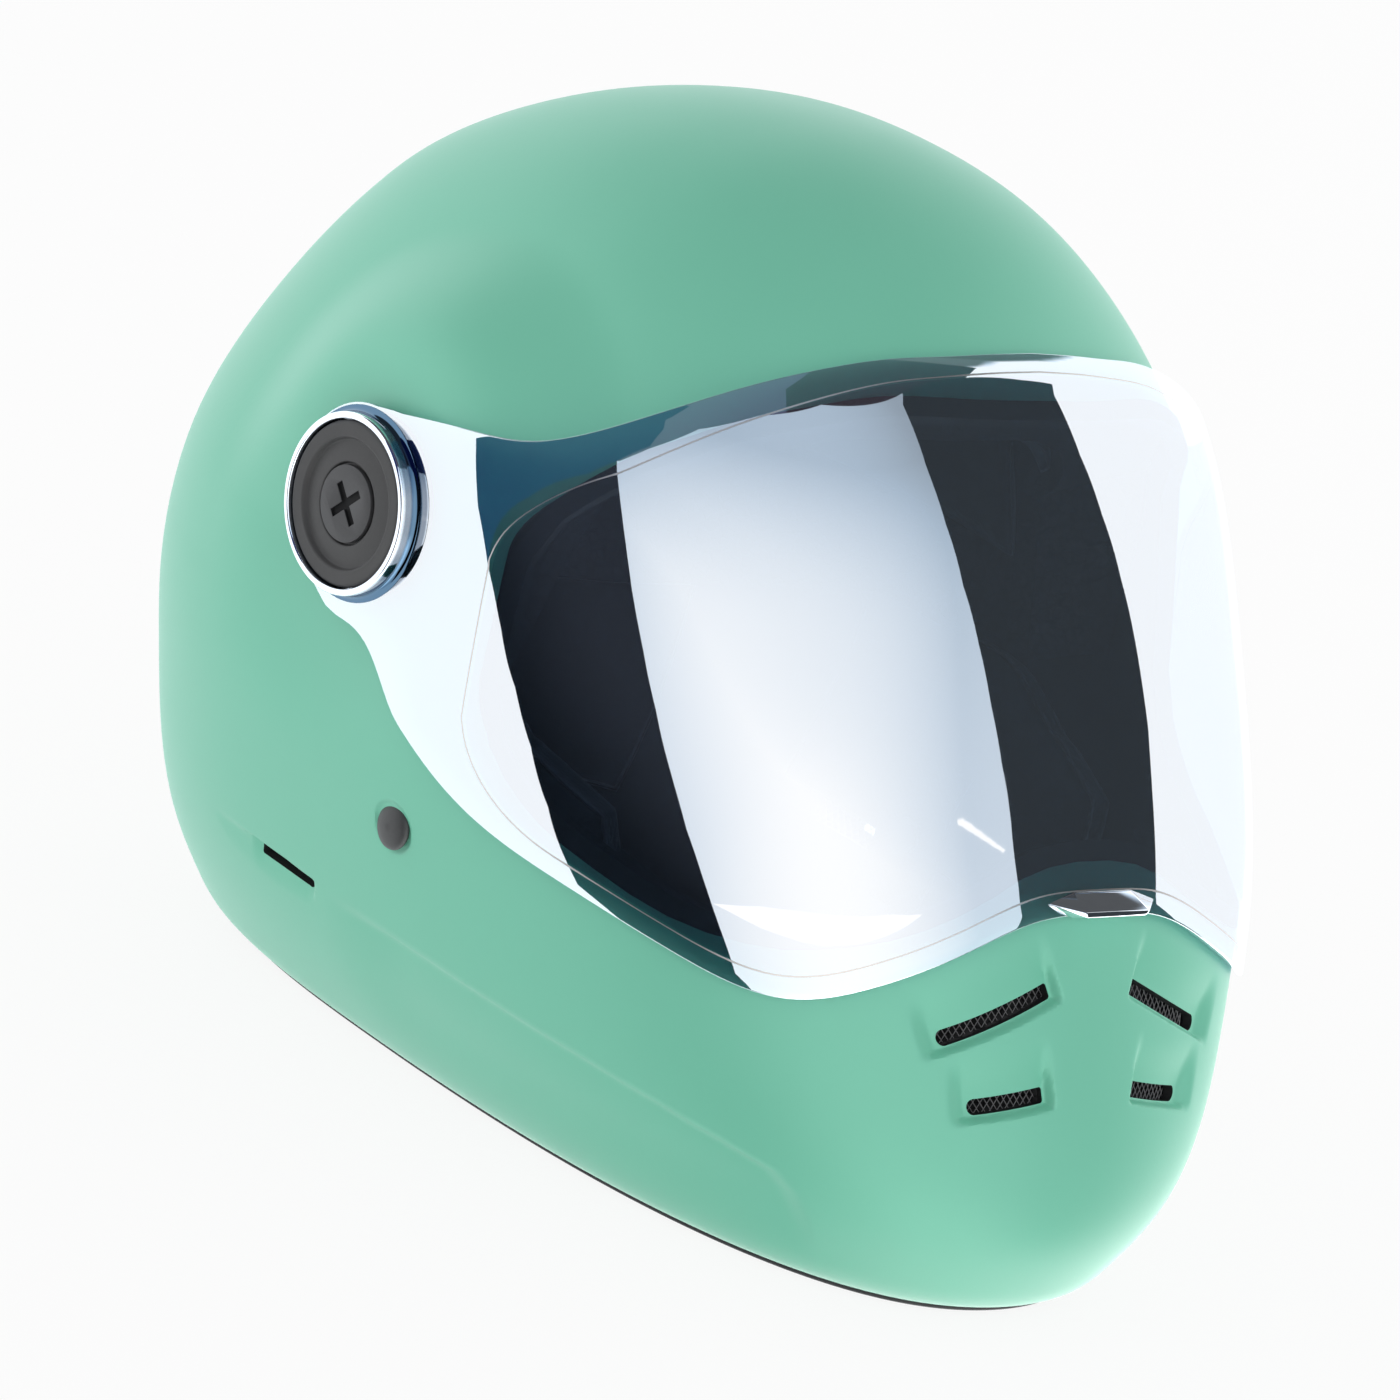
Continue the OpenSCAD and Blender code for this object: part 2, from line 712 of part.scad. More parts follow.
// Screw with a flat head and a plain cross slot
module pivot_screw(side) {
    slot_depth = (head_out - head_in) * 0.55;
    color([0.18, 0.18, 0.18]) difference() {
        union() {
            across(side, pivot_y, pivot_z, head_in, head_out, head_r);
            across(side, pivot_y, pivot_z, nut_x - 2, head_in, thread_r);
        }
        for (turn = [45, 135])
            translate([side * head_out, pivot_y, pivot_z]) rotate([turn, 0, 0])
                cube([2 * slot_depth, 2.2, 12], center = true);
    }
}

// Chin strap

anchor_in = rivet_x - 13;
slot_z = 60;

// Turned rivet, from its inner head past the anchor plate and a spacer to its domed cap outside
module strap_rivet(side) {
    cap_h = 2;
    cap_edge = 0.6;
    head = 1.5;
    play = 0.1;
    spacer_r = rivet_r + 2;
    spacer_end = rivet_x - shell_wall - 2 * cap_edge - 4 * play;
    color([0.25, 0.25, 0.26]) turned(side, rivet_y, rivet_z, concat(
        [
            [0, anchor_in - play - head],
            [spacer_r, anchor_in - play - head],
            [spacer_r, anchor_in - play],
            [rivet_r, anchor_in - play],
            [rivet_r, anchor_in + anchor_t + play],
            [spacer_r, anchor_in + anchor_t + play],
            [spacer_r, spacer_end],
            [rivet_r, spacer_end],
            [rivet_r, rivet_seat + play],
            [rivet_cap_r, rivet_seat + play]
        ],
        [for (a = [0:15:75]) [rivet_cap_r * cos(a), rivet_seat + play + cap_edge + cap_h * sin(a)]],
        [[0, rivet_seat + play + cap_edge + cap_h]]
    ));
}

// Steel plate on the rivet, with a slot for the webbing at its lower end
module strap_anchor(side) {
    half = strap_w / 2 + 3;
    color([0.7, 0.7, 0.72]) difference() {
        union() {
            across(side, rivet_y, rivet_z, anchor_in, anchor_in + anchor_t, 8);
            translate([side * (anchor_in + anchor_t / 2), rivet_y, (rivet_z + slot_z) / 2])
                cube([anchor_t, 12, rivet_z - slot_z], center = true);
            translate([side * (anchor_in + anchor_t / 2), rivet_y, slot_z])
                cube([anchor_t, 2 * half, 10], center = true);
        }
        across(side, rivet_y, rivet_z, anchor_in - 1, anchor_in + anchor_t + 1, rivet_r + bearing);
        translate([side * (anchor_in + anchor_t / 2), rivet_y, slot_z])
            cube([anchor_t * 3, strap_w + 1, strap_t + 1.2], center = true);
    }
}

// Band of webbing along a path in the plane of X and Z, across the whole width of the strap
module webbing(side, path) {
    n = len(path);
    way = [for (k = [0:n - 1]) let (v = path[min(k + 1, n - 1)] - path[max(k - 1, 0)]) v / norm(v)];
    half = strap_t / 2;
    outline = concat(
        [for (k = [0:n - 1]) path[k] + half * [-way[k][1], way[k][0]]],
        [for (k = [n - 1:-1:0]) path[k] - half * [-way[k][1], way[k][0]]]
    );
    translate([0, rivet_y + strap_w / 2, 0]) rotate([90, 0, 0]) linear_extrude(strap_w)
        polygon([for (p = outline) [side * p[0], p[1]]]);
}

// Places on the straps: distance from the middle of the helmet, height
strap_start = [anchor_in + anchor_t + 0.8, slot_z];
strap_through = [anchor_in - 1.5, slot_z];
strap_bend = [anchor_in - 5, slot_z - 12];
ring_bar = [80, 38];
loop_r = 2 * ring_wire + 0.5;
snap_low = [62, 46];
snap_high = [64.5, 70];
snap_reach = 8;

module strap_right() {
    color([0.07, 0.07, 0.08]) difference() {
        union() {
            webbing(right, [strap_start, strap_through, strap_bend, [96, 41], [88, 38.5], ring_bar]);
            translate([right * ring_bar[0], rivet_y + strap_w / 2, ring_bar[1]]) rotate([90, 0, 0])
                cylinder(h = strap_w, r = loop_r + strap_t, $fn = 48);
        }
        translate([right * ring_bar[0], rivet_y + strap_w, ring_bar[1]]) rotate([90, 0, 0])
            cylinder(h = 2 * strap_w, r = loop_r, $fn = 48);
    }
}

// The long strap hangs down, turns back up inside the cheek pad and ends above its snap
module strap_left() {
    snapped = [for (p = [snap_low, snap_high], z = [-snap_reach, snap_reach]) p + [strap_t / 2, z]];
    color([0.07, 0.07, 0.08]) webbing(left, [
        strap_start, strap_through, strap_bend, [97, 40], [90, 30], [84, 18], [77, 13],
        [69, 15], [64, 26], each snapped, [70, 92]
    ]);
}

// Two D-rings that hang side by side from the loop of the short strap
module d_rings() {
    half = strap_w / 2 + 3;
    color([0.78, 0.78, 0.8])
        for (s = sides)
            translate([right * ring_bar[0] + s * (ring_wire + 0.1), rivet_y, ring_bar[1]])
                d_ring(half);
}

module d_ring(half) {
    bend = half - 2;
    rotate([90, 0, 0]) cylinder(h = 2 * half, r = ring_wire, center = true, $fn = 32);
    for (s = sides) {
        translate([0, s * half, 0]) sphere(r = ring_wire, $fn = 32);
        translate([0, s * half, bend - ring_h]) cylinder(h = ring_h - bend, r = ring_wire, $fn = 32);
    }
    translate([0, 0, bend - ring_h]) rotate([0, 90, 0]) rotate([0, 0, -90])
        rotate_extrude(angle = 180, $fn = 64) translate([half, 0]) circle(r = ring_wire, $fn = 32);
}

// Two halves of a snap that holds the strap's free end
module strap_snap() {
    snap_t = 1.6;
    color([0.2, 0.2, 0.2]) for (place = [snap_low, snap_high])
        across(left, rivet_y, place[1], place[0] - seat - snap_t, place[0] - seat, 5);
}

outer_shell();
crown_liner();
chin_liner();
crown_pad();
brow_pad();
cheek_pad(left);  // cheek_pad_left
cheek_pad(right);  // cheek_pad_right
neck_roll();
eye_port_gasket();
neck_edge_trim();
vent_mesh(left);  // vent_mesh_left
vent_mesh(right);  // vent_mesh_right
exhaust_mesh(left);  // exhaust_mesh_left
exhaust_mesh(right);  // exhaust_mesh_right
visor();
visor_inner_lens();
visor_tab();
pivot_collar(left);  // pivot_collar_left
pivot_collar(right);  // pivot_collar_right
pivot_base(left);  // pivot_base_left
pivot_base(right);  // pivot_base_right
pivot_washer(left);  // pivot_washer_left
pivot_washer(right);  // pivot_washer_right
pivot_cap(left);  // pivot_cap_left
pivot_cap(right);  // pivot_cap_right
pivot_screw(left);  // pivot_screw_left
pivot_screw(right);  // pivot_screw_right
pivot_nut(left);  // pivot_nut_left
pivot_nut(right);  // pivot_nut_right
strap_rivet(left);  // strap_rivet_left
strap_rivet(right);  // strap_rivet_right
strap_anchor(left);  // strap_anchor_left
strap_anchor(right);  // strap_anchor_right
strap_left();
strap_right();
d_rings();
strap_snap();
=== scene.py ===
from math import radians

import bmesh
import bpy
import numpy as np
from mathutils import Matrix, Quaternion, Vector
from mathutils.kdtree import KDTree


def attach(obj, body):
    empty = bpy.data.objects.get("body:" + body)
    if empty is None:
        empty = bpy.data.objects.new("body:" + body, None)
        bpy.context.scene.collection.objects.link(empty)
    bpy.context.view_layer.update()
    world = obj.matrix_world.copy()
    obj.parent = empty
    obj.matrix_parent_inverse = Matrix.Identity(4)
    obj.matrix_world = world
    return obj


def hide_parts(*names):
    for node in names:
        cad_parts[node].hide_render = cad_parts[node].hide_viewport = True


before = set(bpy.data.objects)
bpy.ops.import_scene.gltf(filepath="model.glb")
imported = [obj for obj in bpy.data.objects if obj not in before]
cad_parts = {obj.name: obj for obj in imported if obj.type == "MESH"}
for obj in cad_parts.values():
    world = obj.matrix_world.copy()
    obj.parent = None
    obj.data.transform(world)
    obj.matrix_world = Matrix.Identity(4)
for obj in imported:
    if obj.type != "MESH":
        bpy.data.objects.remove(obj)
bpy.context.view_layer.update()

# Outer shell
# One hollow laminate moulding with the chin bar, about 2.6 mm thick, with a rolled lower rim.
# It is sprayed satin mint green, and its slots, scoops, creases and rivet recesses are moulded in.
mm = 0.001
shell_wall = 2.6
rim_tuck = 6
rim_foot = 1.5
middle_y = 16
pivot_at = Vector((0, 23, 152))
pad_x = 121.5
pad_flat = 32
pad_blend = 40
deep_lining = 12
front_square = 2.36
rear_square = 2.9
crown_square = 2.2
square_pace = 1.6
level_nudge = 0.02

# Height, reach to the front, half width and reach to the rear, from the rim up to the crown
shell_sections = np.array(
    [
        [10, 178, 88, 123],
        [28, 184.5, 102, 130],
        [50, 183, 113, 136],
        [75, 175, 121, 142],
        [100, 165, 126, 149],
        [130, 150.2, 125, 153],
        [160, 135, 117, 148],
        [190, 118, 106, 135],
        [215, 99, 92, 118],
        [235, 77, 74, 92],
        [250, 53, 52, 62],
        [259, 27, 26, 31],
    ],
    float,
)
crown_height = 262
top_level = len(shell_sections)
past_crown = [[row[0], -row[3], -row[2], -row[1]] for row in shell_sections[:-4:-1]]
knots = np.vstack([shell_sections, [[crown_height, 0, 0, 0]], past_crown])


def on_curve(rows, at):
    """The smoothest curve through rows of numbers, at places that are counted in rows."""
    rows, at = np.asarray(rows, float), np.asarray(at, float)
    ties = np.eye(len(rows))
    pull = np.zeros_like(rows)
    for i in range(1, len(rows) - 1):
        ties[i, i - 1 : i + 2] = [1, 4, 1]
        pull[i] = 6 * (rows[i - 1] - 2 * rows[i] + rows[i + 1])
    bends = np.linalg.solve(ties, pull)
    k = np.clip(np.floor(at).astype(int), 0, len(rows) - 2)
    u = (at - k)[..., None]
    straight = (1 - u) * rows[k] + u * rows[k + 1]
    return straight + ((1 - u) ** 3 - (1 - u)) * bends[k] / 6 + (u**3 - u) * bends[k + 1] / 6


def profile(level):
    """Height and the three reaches of the shell at levels counted in sections from the rim."""
    return on_curve(knots, level)


level_steps = np.linspace(0, top_level, 4001)
level_heights = profile(level_steps)[:, 0]


def level_at(height):
    return np.interp(height, level_heights, level_steps)


def ease(value, start, end):
    """0 before start, 1 after end and a smooth step between them."""
    u = np.clip((value - start) / (end - start), 0, 1)
    return u * u * (3 - 2 * u)


def shell_point(angle, level, plain=False):
    """Outside of the shell at angles in degrees from the front; plain leaves out the pivots' flats."""
    height, front, side, rear = np.moveaxis(profile(level), -1, 0)
    turn = np.radians(angle)
    c, s = np.cos(turn), np.sin(turn)
    ahead = c >= 0
    square = np.where(ahead, front_square, rear_square)
    square = square + (crown_square - square) * np.clip(square_pace * level / top_level, 0, 1)
    bulge = 1 + (2 ** (0.5 - 1 / square) - 1) * np.sin(2 * turn) ** 2
    x = side * np.where(ahead, s * bulge, np.sign(s) * np.abs(s) ** (2 / square))
    y = middle_y - np.where(ahead, front * c * bulge, rear * np.sign(c) * np.abs(c) ** (2 / square))
    if not plain:
        away = np.hypot(y - pivot_at.y, height - pivot_at.z)
        drawn = 0.5 + 0.5 * np.cos(np.pi * np.clip((away - pad_flat) / pad_blend, 0, 1))
        drawn = np.where(np.abs(x) < pad_x / 2, 0, drawn)
        x = x + (np.sign(x) * pad_x - x) * drawn
    return np.stack([x, y, height + 0 * x], -1)


def outward(angle, level, plain=False):
    """Direction straight out of the shell."""
    level = np.minimum(level, top_level - level_nudge)
    along = shell_point(angle + 0.5, level, plain) - shell_point(angle - 0.5, level, plain)
    up = shell_point(angle, level + level_nudge, plain) - shell_point(angle, level - level_nudge, plain)
    way = np.cross(along, up)
    return way / np.linalg.norm(way, axis=-1, keepdims=True)


def skin(angle, level, out):
    """Points at a distance outside the shell, with the rolled rim below level 0."""
    angle, level, out = np.broadcast_arrays(*(np.asarray(v, float) for v in (angle, level, out)))
    body = np.clip(level, 0, top_level)
    plain = out < -deep_lining
    points = np.where(plain[..., None], shell_point(angle, body, True), shell_point(angle, body))
    ways = np.where(plain[..., None], outward(angle, body, True), outward(angle, body))
    ways = np.where((level >= top_level - 0.01)[..., None], [0, 0, 1], ways)
    side = ways * [1, 1, 0]
    side = side / np.maximum(np.linalg.norm(side, axis=-1, keepdims=True), 1e-9)
    # The rim leaves the shell along its slope and turns in until it lies level
    u = np.maximum(-level, 0)[..., None]
    drop = points[..., 2:] - rim_foot
    lean = -ways[..., 2:] / np.maximum(np.linalg.norm(ways[..., :2], axis=-1, keepdims=True), 1e-9)
    inwards = 2 * u * lean * drop + u * u * (rim_tuck - lean * drop)
    down = drop * (1 - (1 - u) ** 2)
    run = 2 * lean * drop + 2 * u * (rim_tuck - lean * drop)
    fall = 2 * drop * (1 - u)
    tilt = np.hypot(run, fall)
    rolled = points - side * inwards - [0, 0, 1] * down
    rolled = rolled + out[..., None] * (side * fall - [0, 0, 1] * run) / np.maximum(tilt, 1e-9)
    return np.where((level < 0)[..., None], rolled, points + out[..., None] * ways)


def through(points, angle):
    """Smooth curve through a list of angle and height, the same on both sides of the helmet."""
    points = np.array(points, float)
    at = np.interp(np.abs(angle), points[:, 0], np.arange(len(points)))
    return on_curve(points[:, 1:], at)[..., 0]


# Edges of the visor as angle from the front and height; the eye port follows them further in
visor_top = [
    [0, 231], [10, 231], [20, 230], [30, 228], [40, 223], [50, 216], [60, 205], [70, 192], [80, 183], [90, 178]
]
visor_low = [
    [0, 110], [10, 106], [20, 94], [30, 85], [40, 80], [50, 80], [60, 86], [70, 94], [80, 107], [90, 126]
]
port_lap = 13
port_end = 72
port_corner = 11
port_corner_rise = 18


def port_edge(edge, angle, way):
    """Height of the eye port's lower edge, way 1, or upper edge, way -1, with round rear corners."""
    angle = np.minimum(np.abs(angle), port_end)
    u = np.clip((angle - port_end + port_corner) / port_corner, 0, 1)
    return through(edge, angle) + way * (port_lap + port_corner_rise * (1 - np.sqrt(1 - u * u)))


def flat_slab(columns, rows, layers=0):
    """A flat bmesh whose corners lie at whole numbers: columns along X, rows along Y and layers up Z."""
    slab = bmesh.new()
    bmesh.ops.create_grid(slab, x_segments=columns, y_segments=rows, size=0.5)
    bmesh.ops.translate(slab, verts=slab.verts, vec=(0.5, 0.5, 0))
    bmesh.ops.scale(slab, verts=slab.verts, vec=(columns, rows, 1))
    upper = slab.faces[:]
    for layer in range(layers):
        grown = bmesh.ops.extrude_face_region(slab, geom=upper, use_keep_orig=layer == 0)["geom"]
        upper = [g for g in grown if isinstance(g, bmesh.types.BMFace)]
        bmesh.ops.translate(slab, verts=[g for g in grown if isinstance(g, bmesh.types.BMVert)], vec=(0, 0, 1))
    return slab


def lay(shape, place):
    """Moves each corner of a flat shape to the point that place gives for its three numbers."""
    at = np.array([v.co for v in shape.verts]).T
    for vert, point in zip(shape.verts, place(*at)):
        vert.co = point


def close_round(shape, gap=0.01):
    """Joins a shape that was laid right round the helmet where its ends meet."""
    bmesh.ops.remove_doubles(shape, verts=shape.verts, dist=gap)
    bmesh.ops.dissolve_degenerate(shape, edges=shape.edges, dist=gap / 2)
    bmesh.ops.recalc_face_normals(shape, faces=shape.faces)


def split_near(shape, near, times):
    """Halves the edges of a flat shape where near says so of the faces' middles."""
    for _ in range(times):
        middles = np.array([f.calc_center_median() for f in shape.faces]).T
        chosen = {e for face, close in zip(shape.faces, near(*middles)) if close for e in face.edges}
        bmesh.ops.subdivide_edges(shape, edges=list(chosen), cuts=1, use_grid_fill=True)


def new_object(name, shape):
    """Makes an object of a finished shape."""
    mesh = bpy.data.meshes.new(name)
    shape.to_mesh(mesh)
    shape.free()
    made = bpy.data.objects.new(name, mesh)
    bpy.context.scene.collection.objects.link(made)
    return made


def make_piece(name, shape, body, finish, node, crease=35):
    """Makes a finished shape, in millimetres, a piece that rides on a body in the place of a CAD node."""
    bmesh.ops.scale(shape, vec=(mm, mm, mm), verts=shape.verts)
    made = new_object(name, shape)
    made.data.shade_smooth()
    made.data.set_sharp_from_angle(angle=radians(crease))
    made.data.materials.append(finish.material)
    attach(made, body)
    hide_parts(node)
    return made


class Value:
    """A value or colour in a material's nodes, which takes part in sums."""

    def __init__(self, tree, socket=None):
        self.tree = tree
        self.socket = socket

    def node(self, kind, settings=(), inputs=(), output=0):
        """Adds a node with its settings, then its sockets' values or links, and gives one of its outputs."""
        made = self.tree.nodes.new("ShaderNode" + kind)
        for name, setting in dict(settings).items():
            if name == "stops":
                for stop, (place, shade) in zip(made.color_ramp.elements, setting):
                    stop.position = place
                    stop.color = shade
            else:
                setattr(made, name, setting)
        for key, given in dict(inputs).items():
            if isinstance(given, Value):
                self.tree.links.new(given.socket, made.inputs[key])
            else:
                made.inputs[key].default_value = given
        return Value(self.tree, made.outputs[output])

    def _maths(self, operation, first, second):
        return self.node("Math", {"operation": operation}, {0: first, 1: second})

    def __add__(self, other):
        return self._maths("ADD", self, other)

    def __sub__(self, other):
        return self._maths("SUBTRACT", self, other)

    def __rsub__(self, other):
        return self._maths("SUBTRACT", other, self)

    def __mul__(self, other):
        return self._maths("MULTIPLY", self, other)

    __radd__ = __add__
    __rmul__ = __mul__

    def __abs__(self):
        return self._maths("ABSOLUTE", self, 0)

    def part(self, axis):
        """X, Y or Z of a place."""
        return self.node("SeparateXYZ", {}, {"Vector": self}, axis)

    def within(self, low, high):
        """1 where the value is above high, 0 below low and a smooth step between."""
        return self.node(
            "MapRange", {"interpolation_type": "SMOOTHSTEP"}, {"Value": self, "From Min": low, "From Max": high}
        )

    def tint(self, low, high):
        """Mixes two colours, or colour outputs, by this value."""
        return self.node("Mix", {"data_type": "RGBA"}, {0: self, 6: low, 7: high}, 2)

    def bump(self, height, strength=1.0):
        """Normal of a surface that this value raises by height, in metres."""
        return self.node("Bump", {}, {"Height": self, "Distance": height, "Strength": strength})


class Finish:
    """A material round one Principled shader."""

    def __init__(self, name, **sockets):
        self.material = bpy.data.materials.new(name)
        self.material.use_nodes = True
        self.tree = self.material.node_tree
        self.surface = self.tree.nodes["Principled BSDF"]
        self.body = Value(self.tree, self.surface.outputs["BSDF"])
        self.start = Value(self.tree)
        self.feed(**sockets)

    def feed(self, **sockets):
        """Sets or links the shader's sockets, named with _ in the place of a space."""
        for name, given in sockets.items():
            socket = self.surface.inputs[name.replace("_", " ")]
            if isinstance(given, Value):
                self.tree.links.new(given.socket, socket)
            else:
                socket.default_value = given

    def show(self, shader):
        """Makes another shader than the Principled one what is seen."""
        self.tree.links.new(shader.socket, self.tree.nodes["Material Output"].inputs["Surface"])

    def see_through(self, share, colour):
        """Lets light through, tinted, but for a share that meets the surface."""
        clear = self.start.node("BsdfTransparent", {}, {"Color": colour})
        self.show(self.start.node("MixShader", {}, {0: share, 1: clear, 2: self.body}))

    def light(self, colour):
        """Shader that gives off a colour."""
        return self.start.node("Emission", {}, {"Color": colour, "Strength": 1.0})

    def place(self, size=1.0):
        """Object coordinates, scaled so that 1 is size metres."""
        spot = self.start.node("TexCoord", output="Object")
        return spot.node("VectorMath", {"operation": "SCALE"}, {0: spot, "Scale": 1 / size})

    def noise(self, size, detail=2.0, rough=0.5):
        """Soft noise from 0 to 1 whose patches are size metres across."""
        return self.start.node(
            "TexNoise", {}, {"Vector": self.place(size), "Scale": 1.0, "Detail": detail, "Roughness": rough}
        )

    def cells(self, size, output="Distance", **settings):
        """Cells that are size metres across."""
        return self.start.node("TexVoronoi", settings, {"Vector": self.place(size), "Scale": 1.0}, output)


def grained(name, size, shades, roughness, lift=None, detail=3, rough=0.6, **sockets):
    """A finish with one fine grain: its two shades, its roughness (least, more) and its bump."""
    made = Finish(name, **sockets)
    grain = made.noise(size, detail, rough)
    made.feed(Base_Color=grain.tint(*shades), Roughness=roughness[0] + roughness[1] * grain)
    if lift:
        made.feed(Normal=grain.bump(*lift))
    return made


paint = Finish("satin_mint_paint", Specular_IOR_Level=0.7)
paint_cloud = paint.noise(0.05, 3)
paint_peel = paint.noise(0.0016, 2)
paint_dust = paint.noise(0.0004, 1)
paint.feed(
    Base_Color=paint_cloud.tint((0.164, 0.572, 0.4, 1), (0.176, 0.592, 0.418, 1)),
    Roughness=0.38 + 0.08 * paint_cloud + 0.06 * paint_dust,
    Normal=(paint_peel + 0.35 * paint_dust).bump(0.00004, 0.5),
)

# Inside, and in the walls of its openings, the laminate is bare and black
laminate = Finish("bare_black_laminate", Specular_IOR_Level=0.35)
laminate_weave = laminate.cells(0.0018)
laminate_cloud = laminate.noise(0.01, 3)
laminate.feed(
    Base_Color=laminate_cloud.tint((0.010, 0.010, 0.011, 1), (0.022, 0.022, 0.023, 1)),
    Roughness=0.5 + 0.2 * laminate_weave,
    Normal=laminate_weave.bump(0.00006, 0.6),
)

# The shell is laid out flat first: columns run round the helmet and rows up it, from the roll of the rim
roll_rows = 8
low_rows = 28
port_rows = 9
high_rows = 58
shell_step = 4.2
widest_z = 130


def evenly(start, end, step):
    """Angles between two angles that cut the shell's widest line into steps of a length in millimetres."""
    fine = np.linspace(start, end, 600)
    points = shell_point(fine, np.full_like(fine, level_at(widest_z)), True)
    lengths = np.concatenate([[0], np.cumsum(np.linalg.norm(np.diff(points, axis=0), axis=1))])
    return np.interp(np.linspace(0, lengths[-1], round(lengths[-1] / step) + 1), lengths, fine)


corner_steps = port_end - port_corner + port_corner * np.sin(np.radians(np.arange(7.5, 91, 7.5)))
half_round = np.concatenate(
    [evenly(0, port_end - port_corner, shell_step), corner_steps, evenly(port_end, 180, shell_step)[1:]]
)
round_angles = np.concatenate([-half_round[:0:-1], half_round])
shell_columns = len(round_angles) - 1
shell_rows = roll_rows + low_rows + port_rows + high_rows


def shell_place(column, row):
    """Angle and level of the shell at a place of its flat layout."""
    angle = np.interp(column, np.arange(shell_columns + 1), round_angles)
    low = level_at(port_edge(visor_low, angle, 1))
    top = level_at(port_edge(visor_top, angle, -1))
    row = row - roll_rows
    rim = row / roll_rows
    below = low * row / low_rows
    beside = low + (top - low) * (row - low_rows) / port_rows
    above = top + (top_level - top) * (row - low_rows - port_rows) / high_rows
    parts = [row < 0, row < low_rows, row < low_rows + port_rows]
    return angle, np.select(parts, [rim, below, beside], above)


def shell_spot(column, row, _=0):
    """Point of the shell, without its creases, at a place of its flat layout."""
    return skin(*shell_place(column, row), 0)


# Chin slots: inner and outer end as distance from the middle and height, and half their height
chin_slots = [((15, 90.5), (47, 76.5)), ((16, 65.5), (38, 61))]
slot_half = 2.0
slot_corner = 0.8
scoop_depth = 2.8


def along_slot(slot, points):
    """Distance along a chin slot from its inner end, height above it, and its length."""
    (x0, z0), (x1, z1) = slot
    length = np.hypot(x1 - x0, z1 - z0)
    ux, uz = (x1 - x0) / length, (z1 - z0) / length
    x, z = np.abs(points[..., 0]) - x0, points[..., 2] - z0
    return x * ux + z * uz, z * ux - x * uz, length


def slot_sides(length, half, first_corner, last_corner):
    """Sides that cut out a slot with round corners: direction along and up, and distance from its start."""
    sides = []
    for turn in np.radians(np.arange(0, 360, 15)):
        along, up = np.cos(turn), np.sin(turn)
        corner = last_corner if along > 0 else first_corner
        middle = length - corner if along > 0 else corner
        sides.append((along, up, middle * along + (half - corner) * abs(up) + corner))
    return sides


# Exhaust slot behind each ear, the leaf it lies in, and the round recess for the rivet's cap
exhaust_ends = (20.5, 44.5)
exhaust_z = 46.0
exhaust_half = 1.9
leaf_top = [[10, 47.8], [20, 47.8], [44, 48.3], [67, 47.4], [72, 47.2]]
leaf_low = [[18, 46.5], [20, 41.5], [23, 40.2], [35, 39.4], [47, 39.8], [60, 41.2], [67, 46.6], [72, 47.2]]
rivet_at = Vector((0, -14, 78))
rivet_cap_r = 6

# Line of the crease low on the side, as place along Y and height, from the chin to the rear
side_crease = [
    [-140, 30.5], [-132, 33.7], [-118, 37.6], [-101, 40.9], [-78, 43.8], [-50.6, 45.9], [-26.5, 47.3],
    [0, 48.1], [20, 48], [60, 47],
]
# Its front end, as height and distance from the middle, and how steeply it crosses the chin
crease_end = [[9, 52.5], [19, 59.5], [28, 66], [34, 72]]
crease_cross = 0.8
crease_turn_y = -100

# Ridge of the flat field round the pivot, as place along Y and height
pivot_ridge = [[20, 118], [36, 121], [51, 122.3], [70, 126.3], [95, 129.6], [110, 131]]

# Places that part the chin from the sides: along Y, and distance from the middle
chin_y = -60
side_x = 60

# How deep each form is drawn in, and where its soft edges start and where they are full
scoop_inner = (-2.6, -0.4)
scoop_outer = (-6.5, -0.6)
scoop_top = (15, 1.0)
scoop_low = (-slot_half - 2.0, -slot_half - 0.1)
panel_depth = 2.0
panel_edge = (0, 4)
panel_rim = (9, 27)
panel_rear = (16, -16)
leaf_depth = 2.2
leaf_slope = (-0.1, 0.9)
leaf_front = (exhaust_ends[0] - 2, exhaust_ends[0] + 0.4)
leaf_waist = (49, 43)
leaf_rear = (71, 50)
field_depth = 1.1
field_low = (0, 9)
field_top = (95, 30)
field_front = (22, 44)
field_rear = (118, 62)
recess_depth = 0.6
recess_edge = (rivet_cap_r + 1.1, rivet_cap_r + 0.2)


def below_crease(points):
    """How far a point of the side lies inside the lower panel."""
    drop = np.interp(points[..., 1], *np.transpose(side_crease)) - points[..., 2]
    behind = (np.abs(points[..., 0]) - np.interp(points[..., 2], *np.transpose(crease_end))) * crease_cross
    return np.where(points[..., 1] > crease_turn_y, drop, np.minimum(drop, behind))


def off_line(points, at):
    """Distance of points from a line along X."""
    return np.hypot(points[..., 1] - at.y, points[..., 2] - at.z)


